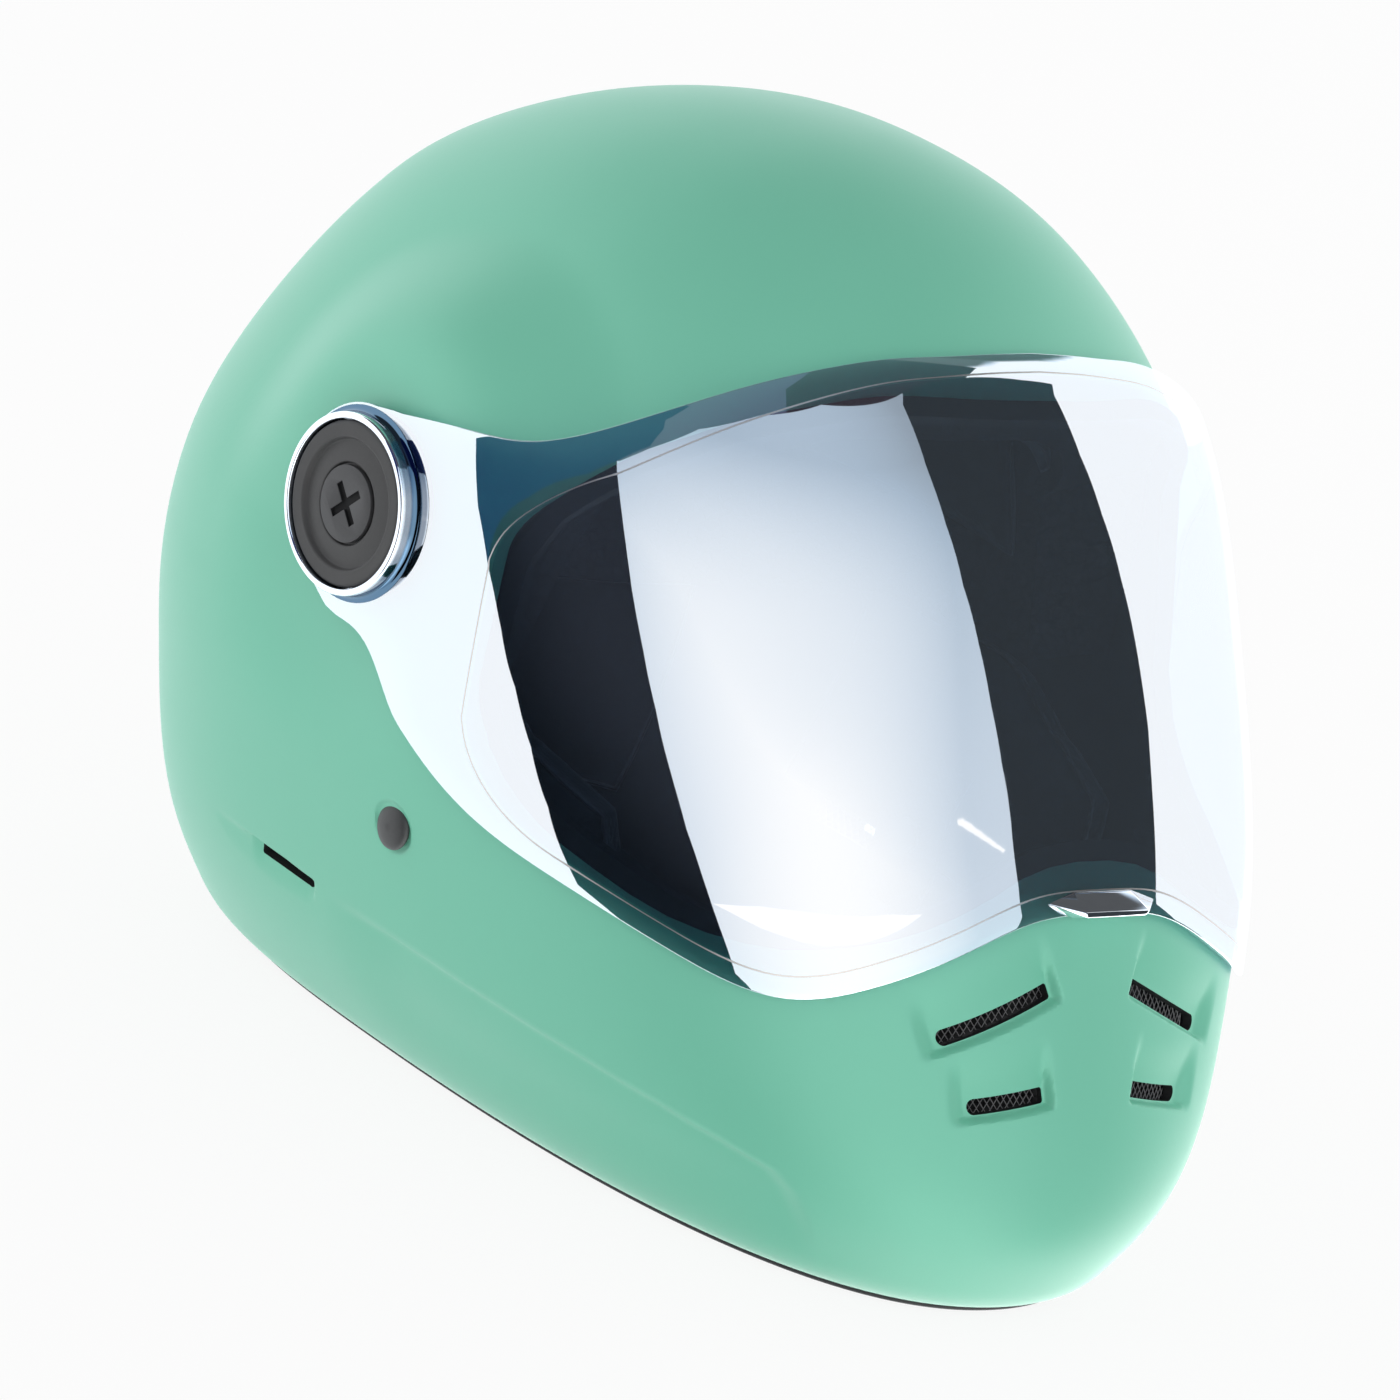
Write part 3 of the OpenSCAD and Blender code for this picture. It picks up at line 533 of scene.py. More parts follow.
def sunk(points):
    """How far the creases, scoops and recesses draw the paint in."""
    depth = np.zeros(points.shape[:-1])
    y, z = points[..., 1], points[..., 2]
    for slot in chin_slots:
        run, height, length = along_slot(slot, points)
        ends = ease(run, *scoop_inner) * ease(length - run, *scoop_outer)
        ramp = ease(height, *scoop_top) * ease(height, *scoop_low)
        depth += np.where(y < chin_y, scoop_depth * ends * ramp, 0)
    # The lower panel fades out towards the rim and towards the exhaust slot
    panel = ease(below_crease(points), *panel_edge) * ease(z, *panel_rim) * ease(y, *panel_rear)
    # The leaf is steep under the crease and behind the slot's front end, and runs out below and to the rear
    top = np.interp(y, *np.transpose(leaf_top))
    low = np.interp(y, *np.transpose(leaf_low))
    leaf = ease(z, top + 0.5, top - 0.5) * ease((z - low) / np.maximum(top - low, 0.5), *leaf_slope)
    leaf = leaf * ease(y, *leaf_front) * (0.35 + 0.65 * ease(y, *leaf_waist)) * ease(y, *leaf_rear)
    # The field behind the pivot starts at its ridge and fades out upwards and to the rear
    above = z - np.interp(y, *np.transpose(pivot_ridge))
    field = ease(above, *field_low) * ease(above, *field_top) * ease(y, *field_front) * ease(y, *field_rear)
    recess = ease(off_line(points, rivet_at), *recess_edge)
    beside = leaf_depth * leaf + field_depth * field + recess_depth * recess
    return depth + panel_depth * panel + np.where(np.abs(points[..., 0]) > side_x, beside, 0)


# How far from a slot's edge the faces are cut
cut_reach = 2.5


def cut_slot(shape, start, along, up, sides, chosen):
    """Cuts a slot through a sheet: its start, its two directions and the part of the sheet it lies in."""

    def outside(points):
        return np.max([(points - start) @ (c * along + s * up) - d for c, s, d in sides], axis=0)

    middles = np.array([f.calc_center_median() for f in shape.faces])
    near = chosen(middles) & (np.abs(outside(middles)) < cut_reach)
    kept = [f for f, close in zip(shape.faces, near) if close]
    for c, s, d in sides:
        way = c * along + s * up
        parts = kept + list({e for f in kept for e in f.edges}) + list({v for f in kept for v in f.verts})
        cut = bmesh.ops.bisect_plane(shape, geom=parts, plane_co=start + way * d, plane_no=way)
        kept = [g for g in cut["geom"] if isinstance(g, bmesh.types.BMFace)]
    hole = [f for f in kept if outside(np.array(f.calc_center_median())) < 0]
    bmesh.ops.delete(shape, geom=hole, context="FACES")


shell = flat_slab(shell_columns, shell_rows)
port_first, port_last = (np.flatnonzero(np.isclose(round_angles, a))[0] for a in (-port_end, port_end))
port_faces = [
    f
    for f in shell.faces
    if port_first < f.calc_center_median().x < port_last
    and roll_rows + low_rows < f.calc_center_median().y < roll_rows + low_rows + port_rows
]
bmesh.ops.delete(shell, geom=port_faces, context="FACES")


def by_chin_slots(points, before, past, below, above):
    """Where points lie near a chin slot, by how much they may pass its ends and its height."""
    close = [
        (run > -before) & (run < length + past) & (height > -below) & (height < above)
        for run, height, length in (along_slot(slot, points) for slot in chin_slots)
    ]
    return (close[0] | close[1]) & (points[:, 1] < chin_y)


# Parts of the side that need finer faces: limits along Y and in height, or of the rivet's radius
leaf_box = (13, 73, 36.5, 51.5)
exhaust_box = (17, 51, exhaust_z - 3.6, exhaust_z + 3.6)
recess_near = 11
recess_ring = (rivet_cap_r - 1.0, rivet_cap_r + 2.2)
crease_near = (-3, 7)
crease_rear = 20


def in_box(points, box):
    """Where points lie between two places along Y and two heights."""
    y, z = points[:, 1], points[:, 2]
    return (y > box[0]) & (y < box[1]) & (z > box[2]) & (z < box[3])


def near_scoops(column, row, _):
    points = shell_spot(column, row)
    beside = in_box(points, leaf_box) | (off_line(points, rivet_at) < recess_near)
    panel = below_crease(points)
    crease = (panel > crease_near[0]) & (panel < crease_near[1]) & (points[:, 1] < crease_rear)
    return by_chin_slots(points, 6, 10, 9, 15) | crease | (beside & (np.abs(points[:, 0]) > side_x))


def near_slots(column, row, _):
    points = shell_spot(column, row)
    round_rivet = off_line(points, rivet_at)
    ring = (round_rivet > recess_ring[0]) & (round_rivet < recess_ring[1])
    beside = in_box(points, exhaust_box) | ring
    return by_chin_slots(points, 5, 3, 7, 5) | (beside & (np.abs(points[:, 0]) > side_x))


split_near(shell, near_scoops, 2)
split_near(shell, near_slots, 1)
lay(shell, shell_spot)
for hand in (1, -1):
    for (x0, z0), (x1, z1) in chin_slots:
        start, along = np.array([hand * x0, 0, z0]), np.array([hand * (x1 - x0), 0, z1 - z0])
        length = np.linalg.norm(along)
        along = along / length
        sides = slot_sides(length, slot_half, slot_corner, slot_half)
        cut_slot(
            shell, start, along, np.array([-hand * along[2], 0, hand * along[0]]), sides,
            lambda at, hand=hand: (at[:, 1] < chin_y) & (hand * at[:, 0] > 0),
        )
    start, length = np.array([0, exhaust_ends[0], exhaust_z]), exhaust_ends[1] - exhaust_ends[0]
    cut_slot(
        shell, start, np.array([0.0, 1, 0]), np.array([0.0, 0, 1]),
        slot_sides(length, exhaust_half, exhaust_half, slot_corner),
        lambda at, hand=hand: hand * at[:, 0] > side_x,
    )
close_round(shell)
shell.normal_update()
ways = [v.normal.copy() for v in shell.verts]
depths = sunk(np.array([v.co for v in shell.verts]))
for vert, way, depth in zip(shell.verts, ways, depths):
    vert.co -= way * depth
painted = set(shell.faces)
bmesh.ops.solidify(shell, geom=shell.faces, thickness=shell_wall)
for face in shell.faces:
    face.material_index = 0 if face in painted else 1
shell_piece = make_piece("shell", shell, "helmet", paint, "outer_shell")
shell_piece.data.materials.append(laminate.material)

# Visor
# A moulded clear shield, 1.6 mm thick, with a bluish mirror coating on its outside.
# It follows the shell closely over the eye port, and its two arms end in flat round eyes on the pivots.
visor_gap = 1.4
visor_wall = 1.6
arm_r = 26
arm_droop = 4
arm_out = pad_x + 5.4
arm_flat = 24
arm_blend = 110
arm_start = 20
arm_span = 80
eye_x = pad_x - 9
eye_front = -30
hub_hole_r = 9.05
arm_neck = 80
arm_end = 90.7
visor_rows = 48
visor_half = evenly(0, arm_end, 2.6)
visor_angles = np.concatenate([-visor_half[:0:-1], visor_half])
eye_columns = 9
visor_columns = len(visor_angles) - 1 + 2 * eye_columns

# Edges of the shield as angle from the front and height, down to where the arms begin
shield_top = [
    [0, 229], [10, 228.4], [20, 227], [30, 224.8], [40, 220.1], [50, 212], [60, 199.6], [70, 187.7],
    [80, 183], [91, 178],
]
shield_low = [
    [0, 107.9], [10, 106], [20, 97], [30, 86.5], [40, 79], [50, 82.4], [60, 88.1], [70, 94.4],
    [80, 106.3], [90, 120],
]
visor_foot = shield_low[0][1]


def visor_face(angle, level):
    """Outside of the visor: even with the shell in front and drawn to two flat eyes at the pivots."""
    face = shell_point(angle, level, True) + (visor_gap + visor_wall) * outward(angle, level, True)
    x, y, z = np.moveaxis(face, -1, 0)
    u = np.clip((off_line(face, pivot_at) - arm_flat) / arm_blend, 0, 1)
    v = np.clip((np.abs(x) - arm_start) / arm_span, 0, 1)
    drawn = (1 - u) ** 3 * (1 + 3 * u) * v**3 * (v * (v * 6 - 15) + 10)
    return np.stack([x + (np.sign(x) * arm_out - x) * drawn, y, z], -1)


def inside_visor(angle, level, depth):
    """Points at a depth behind the outside of the visor."""
    along = visor_face(angle + 0.5, level) - visor_face(angle - 0.5, level)
    up = visor_face(angle, level + level_nudge) - visor_face(angle, level - level_nudge)
    way = np.cross(along, up)
    return visor_face(angle, level) - depth[:, None] * way / np.linalg.norm(way, axis=-1, keepdims=True)


def visor_height(angle, share):
    """Height of the visor at a share of the way from its lower to its upper edge."""
    settle = ease(np.abs(angle), arm_neck, arm_end)
    low = through(shield_low, angle) * (1 - settle) + (pivot_at.z - arm_r - arm_droop) * settle
    top = through(shield_top, angle)
    return low + (top - low) * share


def visor_spot(column, row, _):
    """Point of the visor's outside: the curved shield between two flat round eyes."""
    count = len(visor_angles) - 1
    angle = np.interp(column - eye_columns, np.arange(count + 1), visor_angles)
    share = row / visor_rows
    shield = visor_face(angle, level_at(visor_height(angle, share)))
    past = np.maximum(eye_columns - column, column - eye_columns - count) / eye_columns
    up = 2 * share - 1
    past_y = arm_r * past * np.sqrt(1 - up * up / 2)
    droop = np.where(up < 0, arm_droop * (1 - np.clip(past, 0, 1)) ** 2, 0)
    past_z = (arm_r + droop) * up * np.sqrt(1 - np.maximum(past, 0) ** 2 / 2)
    eye = np.stack([np.sign(angle) * arm_out, pivot_at.y + past_y, pivot_at.z + past_z], -1)
    return np.where((past > 0)[:, None], eye, shield)


# The anti-fog lens shows through the visor by the fine line of glue along its outline. That keeps away
# from the visor's lower and upper edge, at the side more than in front, and has round rear corners
lens_end = 72
lens_corner = 11
lens_low_lap = 5.5
lens_top_lap = 3.6
lens_side_lap = 9
lens_side = 60
lens_rise = 17
lens_fall = 18


def lens_height(angle, share):
    """Height of the lens at a share of the way from its lower to its upper edge."""
    u = np.clip((np.abs(angle) - lens_end + lens_corner) / lens_corner, 0, 1)
    bend = 1 - np.sqrt(1 - u * u)
    sideways = (np.minimum(np.abs(angle), lens_side) / lens_side) ** 3
    low = through(shield_low, angle) + lens_low_lap + lens_rise * bend
    top = through(shield_top, angle) - lens_top_lap - lens_side_lap * sideways - lens_fall * bend
    return low + (top - low) * share


mirror = Finish("mirror_coating", Metallic=1.0, IOR=1.6)
seam = mirror.start.node("Attribute", {"attribute_name": "glue_gap"}, output="Fac")
seam_line = 1 - abs(seam).within(0.12, 0.34)
mirror_cloud = mirror.noise(0.09, 1)
mirror_shade = mirror_cloud.tint((0.95, 0.965, 0.99, 1), (0.98, 0.99, 1.0, 1))
mirror.feed(Base_Color=seam_line.tint(mirror_shade, (0.66, 0.61, 0.58, 1)), Roughness=0.015 + 0.3 * seam_line)
mirror.see_through(0.6 + 0.2 * seam_line, (0.7, 0.85, 1.0, 1))

clear = Finish("clear_shield_edge", Roughness=0.12, IOR=1.5, Specular_IOR_Level=0.3)
clear_haze = clear.noise(0.01, 2)
clear.feed(Base_Color=clear_haze.tint((0.2, 0.25, 0.33, 1), (0.24, 0.29, 0.37, 1)))
clear.see_through(0.06 + 0.03 * clear_haze, (0.93, 0.96, 1.0, 1))


def round_edges(shape, edges, width, segments=3, **more):
    """Rounds edges of a shape to a width on each side."""
    bmesh.ops.bevel(
        shape, geom=edges, offset=width, offset_type="OFFSET", segments=segments, profile=0.5,
        affect="EDGES", material=-1, **more,
    )


visor = flat_slab(visor_columns, visor_rows)
lay(visor, visor_spot)
for hand in (1, -1):
    cut_slot(
        visor, np.array([0, pivot_at.y - hub_hole_r, pivot_at.z]), np.array([0.0, 1, 0]), np.array([0.0, 0, 1]),
        slot_sides(2 * hub_hole_r, hub_hole_r, hub_hole_r, hub_hole_r),
        lambda at, hand=hand: hand * at[:, 0] > eye_x,
    )
bmesh.ops.recalc_face_normals(visor, faces=visor.faces)
bmesh.ops.solidify(visor, geom=visor.faces, thickness=visor_wall)
round_edges(visor, [e for e in visor.edges if e.is_manifold and e.calc_face_angle(0) > radians(60)], 0.4)
# Faces that look back in, and the rims, carry no coating
coated_facing = 0.45
visor.normal_update()
centre = Vector((0, middle_y, pivot_at.z))
for face in visor.faces:
    away = face.calc_center_median() - centre
    if abs(away.x) > eye_x and face.calc_center_median().y > eye_front:
        away = Vector((away.x, 0, 0))
    face.material_index = 0 if face.normal.dot(away.normalized()) > coated_facing else 1
visor_piece = make_piece("visor_shield", visor, "visor", mirror, "visor")
visor_piece.data.materials.append(clear.material)

# Each corner of the shield keeps its distance from the lens's outline, for the line of glue
lens_sweep = np.linspace(-lens_end, lens_end, 3000)
end_shares = np.linspace(0, 1, 120)[1:-1]
loop_ends = np.full_like(end_shares, lens_end)
loop_angles = np.concatenate([lens_sweep, loop_ends, lens_sweep[::-1], -loop_ends])
loop_shares = np.concatenate([0 * lens_sweep, end_shares, 0 * lens_sweep + 1, end_shares[::-1]])
loop_levels = level_at(lens_height(loop_angles, loop_shares))
glue_loop = visor_face(loop_angles, loop_levels) * mm
glue_along = np.roll(glue_loop, -1, 0) - np.roll(glue_loop, 1, 0)
glue_inwards = np.cross(outward(loop_angles, loop_levels), glue_along)
glue_tree = KDTree(len(glue_loop))
for number, point in enumerate(glue_loop):
    glue_tree.insert(point, number)
glue_tree.balance()
gaps = []
for vert in visor_piece.data.vertices:
    point, number, far = glue_tree.find(vert.co)
    gaps.append(far / mm if (vert.co - point).dot(glue_inwards[number]) > 0 else -far / mm)
visor_piece.data.attributes.new("glue_gap", "FLOAT", "POINT").data.foreach_set("value", gaps)

# Anti-fog lens
# A thin lens of clear plastic, glued inside the visor along a fine bead that shows as a thin line.
lens_wall = 0.4
glue_t = 0.05
lens_columns = 110
lens_rows = 30
lens_finish = Finish("clear_lens", Base_Color=(0.2, 0.22, 0.25, 1), Roughness=0.06, IOR=1.49)
lens_dust = lens_finish.noise(0.004, 2)
lens_finish.see_through(0.04 + 0.02 * lens_dust, (0.9, 0.92, 0.94, 1))


def lens_spot(column, row, layer):
    angle = lens_end * np.sin(np.radians(90 * (2 * column / lens_columns - 1)))
    level = level_at(lens_height(angle, row / lens_rows))
    return inside_visor(angle, level, visor_wall + glue_t + lens_wall * (1 - layer))


lens = flat_slab(lens_columns, lens_rows, 1)
lay(lens, lens_spot)
bmesh.ops.recalc_face_normals(lens, faces=lens.faces)
make_piece("anti_fog_lens", lens, "visor", lens_finish, "visor_inner_lens")

# Lift tab and pivot collars
# Small plated mouldings: the tab is a wedge with slanted ends on the visor's lower edge, and a collar
# stands on each arm round the pivot, with a wide hollow foot and a thin rounded lip.
chrome = Finish("polished_plating", Metallic=1.0, Roughness=0.06)
chrome_haze = chrome.noise(0.004, 3)
chrome.feed(
    Base_Color=chrome_haze.tint((0.80, 0.83, 0.88, 1), (0.86, 0.89, 0.93, 1)),
    Roughness=0.035 + 0.05 * chrome_haze,
    Normal=chrome.noise(0.012, 1).bump(0.00002, 0.3),
)
tab_y = middle_y - profile(level_at(visor_foot))[1] - visor_gap - visor_wall
tab_slope = 0.45
tab_back = -0.9
# From the tab's low edge up: height, reach in front of the visor, half width in front and at the visor
tab_rows = [(109.0, 1.0, 12.5, 13.5), (110.3, 5.2, 10.5, 17), (111.7, 5.8, 11.5, 19.3), (114.4, 0.6, 9.5, 10)]
tab = bmesh.new()
# Its four levels start as a cube 3 mm high that is cut twice across
bmesh.ops.create_cube(tab, size=3)
upright = [e for e in tab.edges if abs(e.verts[0].co.z - e.verts[1].co.z) > 0.5]
bmesh.ops.subdivide_edges(tab, edges=upright, cuts=2)
for vert in tab.verts:
    height, reach, front_half, back_half = tab_rows[round(vert.co.z + 1.5)]
    half, out = (front_half, reach) if vert.co.y < 0 else (back_half, tab_back)
    y = tab_y + (height - visor_foot) * tab_slope - out
    vert.co = (np.sign(vert.co.x) * half, y, height)
round_edges(tab, tab.edges[:], 0.4)
bmesh.ops.recalc_face_normals(tab, faces=tab.faces)
make_piece("lift_tab", tab, "visor", chrome, "visor_tab", 50)

# The plating is painted with its reflections: dark blue at a collar's foot, grey on its flank and bright on its
# lip
painted_reflection_plating = Finish("plating_painted_reflection", Metallic=1.0)
# Height above the arm face in millimetres, which places the painted reflection bands
painted_band_height = 1000 * abs(painted_reflection_plating.start.node("TexCoord", output="Object").part("X")) - arm_out
collar_haze = painted_reflection_plating.noise(0.003, 3)
painted_flank_reflection = painted_band_height.within(1.2, 2.3).tint((0.09, 0.16, 0.24, 1), (0.3, 0.34, 0.4, 1))
painted_reflection_plating.feed(
    Base_Color=painted_band_height.within(3.4, 4.3).tint(painted_flank_reflection, (0.82, 0.86, 0.92, 1)),
    Roughness=0.035 + 0.05 * collar_haze,
)
collar_r = 23.6
collar_lip = 1.8
collar_h = 5


def turned(outline, side, at, steps):
    """Turns a closed outline of radius and distance from the middle round an axis along X."""
    shape = bmesh.new()
    verts = [shape.verts.new((side * x, at.y + r, at.z)) for r, x in outline]
    edges = [shape.edges.new(pair) for pair in zip(verts, verts[1:] + verts[:1])]
    bmesh.ops.spin(
        shape, geom=verts + edges, cent=(0, at.y, at.z), axis=(1, 0, 0), angle=radians(360), steps=steps,
        use_merge=True,
    )
    bmesh.ops.remove_doubles(shape, verts=shape.verts, dist=0.001)
    bmesh.ops.recalc_face_normals(shape, faces=shape.faces)
    return shape


def arc(centre, radius, start, end, steps):
    """Points of a round stretch of an outline, with its angles in degrees."""
    turns = np.radians(np.linspace(start, end, steps))
    return [(centre[0] + radius * np.cos(t), centre[1] + radius * np.sin(t)) for t in turns]


collar_top = arm_out + collar_h
collar_foot = arm_r - 0.6
collar_in = arm_out + 0.05
foot_round = collar_foot - collar_r
lip_round = 0.7
lip_round_in = 0.5
collar_outline = (
    [(collar_r - collar_lip, collar_in), (collar_foot, collar_in)]
    + arc((collar_foot, collar_in + 0.05 + foot_round), foot_round, -90, -180, 9)
    + arc((collar_r - lip_round, collar_top - lip_round), lip_round, 0, 90, 6)
    + arc((collar_r - collar_lip + lip_round_in, collar_top - lip_round_in), lip_round_in, 90, 180, 5)
)
both_sides = ((1, "left"), (-1, "right"))
for side, name in both_sides:
    collar = turned(collar_outline, side, pivot_at, 160)
    # Each collar wears the plating with painted reflection bands
    make_piece("collar_" + name, collar, "visor", painted_reflection_plating, "pivot_collar_" + name, 30)

# Pivot bases, caps and screws
# Black moulded nylon: the base screws to the shell and carries the visor's hub, the cap covers it
# with one stepped ridge, and a coin-slot screw with a plain cross holds the stack together.
nylon = Finish("matt_black_nylon", Specular_IOR_Level=0.4)
nylon_grain = nylon.noise(0.0009, 3, 0.6)
nylon_cloud = nylon.noise(0.012, 2)
nylon.feed(
    Base_Color=nylon_cloud.tint((0.048, 0.048, 0.049, 1), (0.062, 0.062, 0.063, 1)),
    Roughness=0.5 + 0.14 * nylon_grain,
    Normal=nylon_grain.bump(0.00003, 0.6),
)
screw_nylon = grained(
    "satin_black_screw", 0.0012, ((0.035, 0.035, 0.037, 1), (0.055, 0.055, 0.058, 1)), (0.42, 0.12),
    (0.00002, 0.5), Specular_IOR_Level=0.45,
)
# The cross recess of each screw gets a near-black finish: painted shade, darker than the screw's own nylon
painted_shade_slot = grained(
    "screw_slot_painted_shade", 0.0008, ((0.004, 0.004, 0.004, 1), (0.009, 0.009, 0.01, 1)), (0.6, 0.2),
    detail=2, rough=0.5, Specular_IOR_Level=0.2,
)
thread_hole = 2.7
cap_r = collar_r - collar_lip - 0.3
cap_in = arm_out + 1.4
cap_top = collar_top - 0.8
screw_r = 10
cross_depth = 0.35
cap_outline = (
    [(thread_hole, cap_in), (cap_r, cap_in)]
    + arc((cap_r - 1.2, cap_top - 1.2), 1.2, 0, 90, 7)
    + [(18.4, cap_top - 0.15)]
    + arc((17.6, cap_top - 0.8), 0.7, 75, 160, 5)
    + arc((16.2, cap_top - 1.0), 0.5, -20, -100, 5)
    + [(15.0, cap_top - 1.35), (12.6, cap_top - 0.9)]
    + arc((screw_r + 1.1, cap_top - 1.25), 0.45, 75, 180, 5)
    + [(screw_r + 0.45, cap_in + 0.9), (thread_hole, cap_in + 0.9)]
)


def softened(node, width=0.25):
    """Copy of a CAD node's mesh in millimetres, merged, with its sharp corners rounded."""
    shape = bmesh.new()
    shape.from_mesh(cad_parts[node].data)
    bmesh.ops.scale(shape, vec=(1000, 1000, 1000), verts=shape.verts)
    bmesh.ops.remove_doubles(shape, verts=shape.verts, dist=0.002)
    bmesh.ops.dissolve_limit(shape, angle_limit=radians(2), verts=shape.verts, edges=shape.edges)
    sharp = [e for e in shape.edges if e.is_manifold and e.calc_face_angle(0) > radians(40)]
    round_edges(shape, sharp, width, 2, clamp_overlap=True)
    return shape


def dress(finish, *nodes):
    """Gives a finish to CAD nodes that stay as they are."""
    for node in nodes:
        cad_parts[node].data.materials.clear()
        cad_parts[node].data.materials.append(finish.material)


dress(nylon, "pivot_base_left", "pivot_base_right")
for side, name in both_sides:
    cap = turned(cap_outline, side, pivot_at, 128)
    make_piece("pivot_cover_" + name, cap, "helmet", nylon, "pivot_cap_" + name, 30)
    screw = softened("pivot_screw_" + name)
    screw_top = max(abs(v.co.x) for v in screw.verts)
    # Faces down in the cross take the painted shade finish
    for face in screw.faces:
        middle = face.calc_center_median()
        inside = off_line(np.array(middle), pivot_at) < screw_r - 1
        face.material_index = 1 if inside and abs(middle.x) < screw_top - cross_depth else 0
    made = make_piece(
        "cross_screw_" + name, screw, "helmet", screw_nylon, "pivot_screw_" + name, 30
    )
    made.data.materials.append(painted_shade_slot.material)

# Steel parts
# Zinc plated nuts and washers of the pivots, stamped anchor plates and welded D-rings of the strap,
# with fine brushing, and the strap's rivets in dark grey lacquer with a domed cap outside.
steel = Finish("zinc_plated_steel", Metallic=1.0)
steel_spot = steel.start.node("Mapping", {}, {"Vector": steel.place(), "Scale": (900, 900, 60)})
steel_brush = steel_spot.node("TexNoise", {}, {"Vector": steel_spot, "Scale": 1.0, "Detail": 2.0})
steel.feed(
    Base_Color=steel_brush.tint((0.52, 0.52, 0.54, 1), (0.68, 0.68, 0.69, 1)),
    Roughness=0.24 + 0.16 * steel_brush,
    Normal=steel_brush.bump(0.00001, 0.5),
)
dress(steel, "d_rings")
for _, name in both_sides:
    dress(steel, "pivot_nut_" + name, "pivot_washer_" + name, "strap_anchor_" + name)

lacquer = grained(
    "dark_grey_lacquer", 0.0008, ((0.036, 0.037, 0.038, 1), (0.052, 0.053, 0.054, 1)), (0.42, 0.12),
    (0.00002, 0.5), Specular_IOR_Level=0.5,
)
for _, name in both_sides:
    rivet = softened("strap_rivet_" + name)
    make_piece("dome_rivet_" + name, rivet, "helmet", lacquer, "strap_rivet_" + name, 30)

# Rubber edges
# A clipped-on gasket round the eye port, which the visor closes against, and a trim on the rolled
# neck rim, both extruded black rubber with a fine matt skin.
rubber = grained(
    "matt_black_rubber", 0.0007, ((0.018, 0.018, 0.019, 1), (0.032, 0.032, 0.033, 1)), (0.62, 0.16),
    (0.00004, 0.6), rough=0.65, Specular_IOR_Level=0.35,
)
dress(rubber, "eye_port_gasket")

# Trim: level past the rim and distance out, right round the shell's inner edge
trim_outline = [
    (-0.84, 0.05), (-0.86, 0.8), (-0.92, 1.3), (-1.0, 1.5), (-1.12, 1.4), (-1.2, 0.9), (-1.24, -0.2),
    (-1.24, -2.6), (-1.2, -3.5), (-1.1, -3.9), (-0.8, -3.9), (-0.62, -3.6), (-0.6, -2.7), (-1.02, -2.7),
    (-1.02, 0.05),
]
trim_columns = 240


def trim_spot(column, row, _):
    levels, outs = np.transpose(trim_outline)
    k = np.round(row).astype(int) % len(trim_outline)
    return skin(360 * column / trim_columns - 180, levels[k], outs[k])


trim = flat_slab(trim_columns, len(trim_outline))
lay(trim, trim_spot)
close_round(trim, 0.004)
make_piece("neck_trim", trim, "helmet", rubber, "neck_edge_trim", 50)

# Wire mesh
# Dark grey coated wire woven in a diamond pattern, bonded behind the chin slots and the exhaust slots.
wire = grained(
    "dark_grey_coated_wire", 0.0006, ((0.16, 0.16, 0.165, 1), (0.26, 0.26, 0.27, 1)), (0.3, 0.2),
    (0.00002, 0.5), 2, 0.5, Specular_IOR_Level=0.6,
)
wire_t = 0.28
mesh_out = -shell_wall - 0.5 - scoop_depth
mesh_cell = 2.0
mesh_stretch = (0.85, 1.0, 1)
# Each mesh by its angles, its heights and the millimetres of a degree there
for node, (first, last), (low, high), degree in (
    ("vent_mesh", (4, 22), (55, 95), 2.4),
    ("exhaust_mesh", (88, 102), (40, 53), 2.6),
):
    wide, tall = (last - first) * degree, high - low
    cells = round(np.hypot(wide, tall) / mesh_cell)
    for side, name in both_sides:
        net = bmesh.new()
        bmesh.ops.create_grid(net, x_segments=cells, y_segments=cells, size=0.5 * cells * mesh_cell)
        bmesh.ops.rotate(net, verts=net.verts, matrix=Matrix.Rotation(radians(45), 3, "Z"))
        bmesh.ops.scale(net, verts=net.verts, vec=mesh_stretch)
        for x, y in ((1, 0), (-1, 0), (0, 1), (0, -1)):
            bmesh.ops.bisect_plane(
                net, geom=net.verts[:] + net.edges[:] + net.faces[:],
                plane_co=(x * wide / 2, y * tall / 2, 0), plane_no=(x, y, 0), clear_outer=True,
            )

        def net_spot(x, y, _):
            angle = side * (first + (x / wide + 0.5) * (last - first))
            return skin(angle, level_at(low + (y / tall + 0.5) * (high - low)), mesh_out)

        lay(net, net_spot)
        bmesh.ops.recalc_face_normals(net, faces=net.faces)
        bmesh.ops.wireframe(
            net, faces=net.faces[:], thickness=wire_t, use_boundary=True, use_even_offset=True, use_replace=True
        )
        make_piece(f"woven_{node}_{name}", net, "helmet", wire, f"{node}_{name}", 30)

# Foam liner
# Moulded black bead foam in two blocks: one over the head and one in the chin bar.
foam = Finish("black_bead_foam", Specular_IOR_Level=0.25)
foam_seams = foam.cells(0.0032, feature="DISTANCE_TO_EDGE").within(0.0, 0.09)
foam_beads = foam.start.node("SeparateColor", {}, {"Color": foam.cells(0.0032, "Color")})
foam_shade = foam_seams * (0.55 + 0.45 * foam_beads)
foam.feed(
    Base_Color=foam_shade.tint((0.012, 0.012, 0.013, 1), (0.055, 0.055, 0.058, 1)),
    Roughness=0.78 + 0.12 * foam_beads,
    Normal=(foam_seams + 0.3 * foam_beads).bump(0.00018, 0.7),
)
lining_gap = 0.8
foam_thick = 28
lining_side = [[0, 124], [78, 124], [90, 118], [110, 104], [130, 90], [150, 82], [180, 80]]
lining_port_gap = 5
ear_drop = (74, 78)


def lining_low(angle):
    """Lower edge of the foam over the head: above the eye port, then down past the ears to the neck."""
    over_port = through(visor_top, angle) - port_lap + lining_port_gap
    return over_port + (through(lining_side, angle) - over_port) * ease(np.abs(angle), *ear_drop)


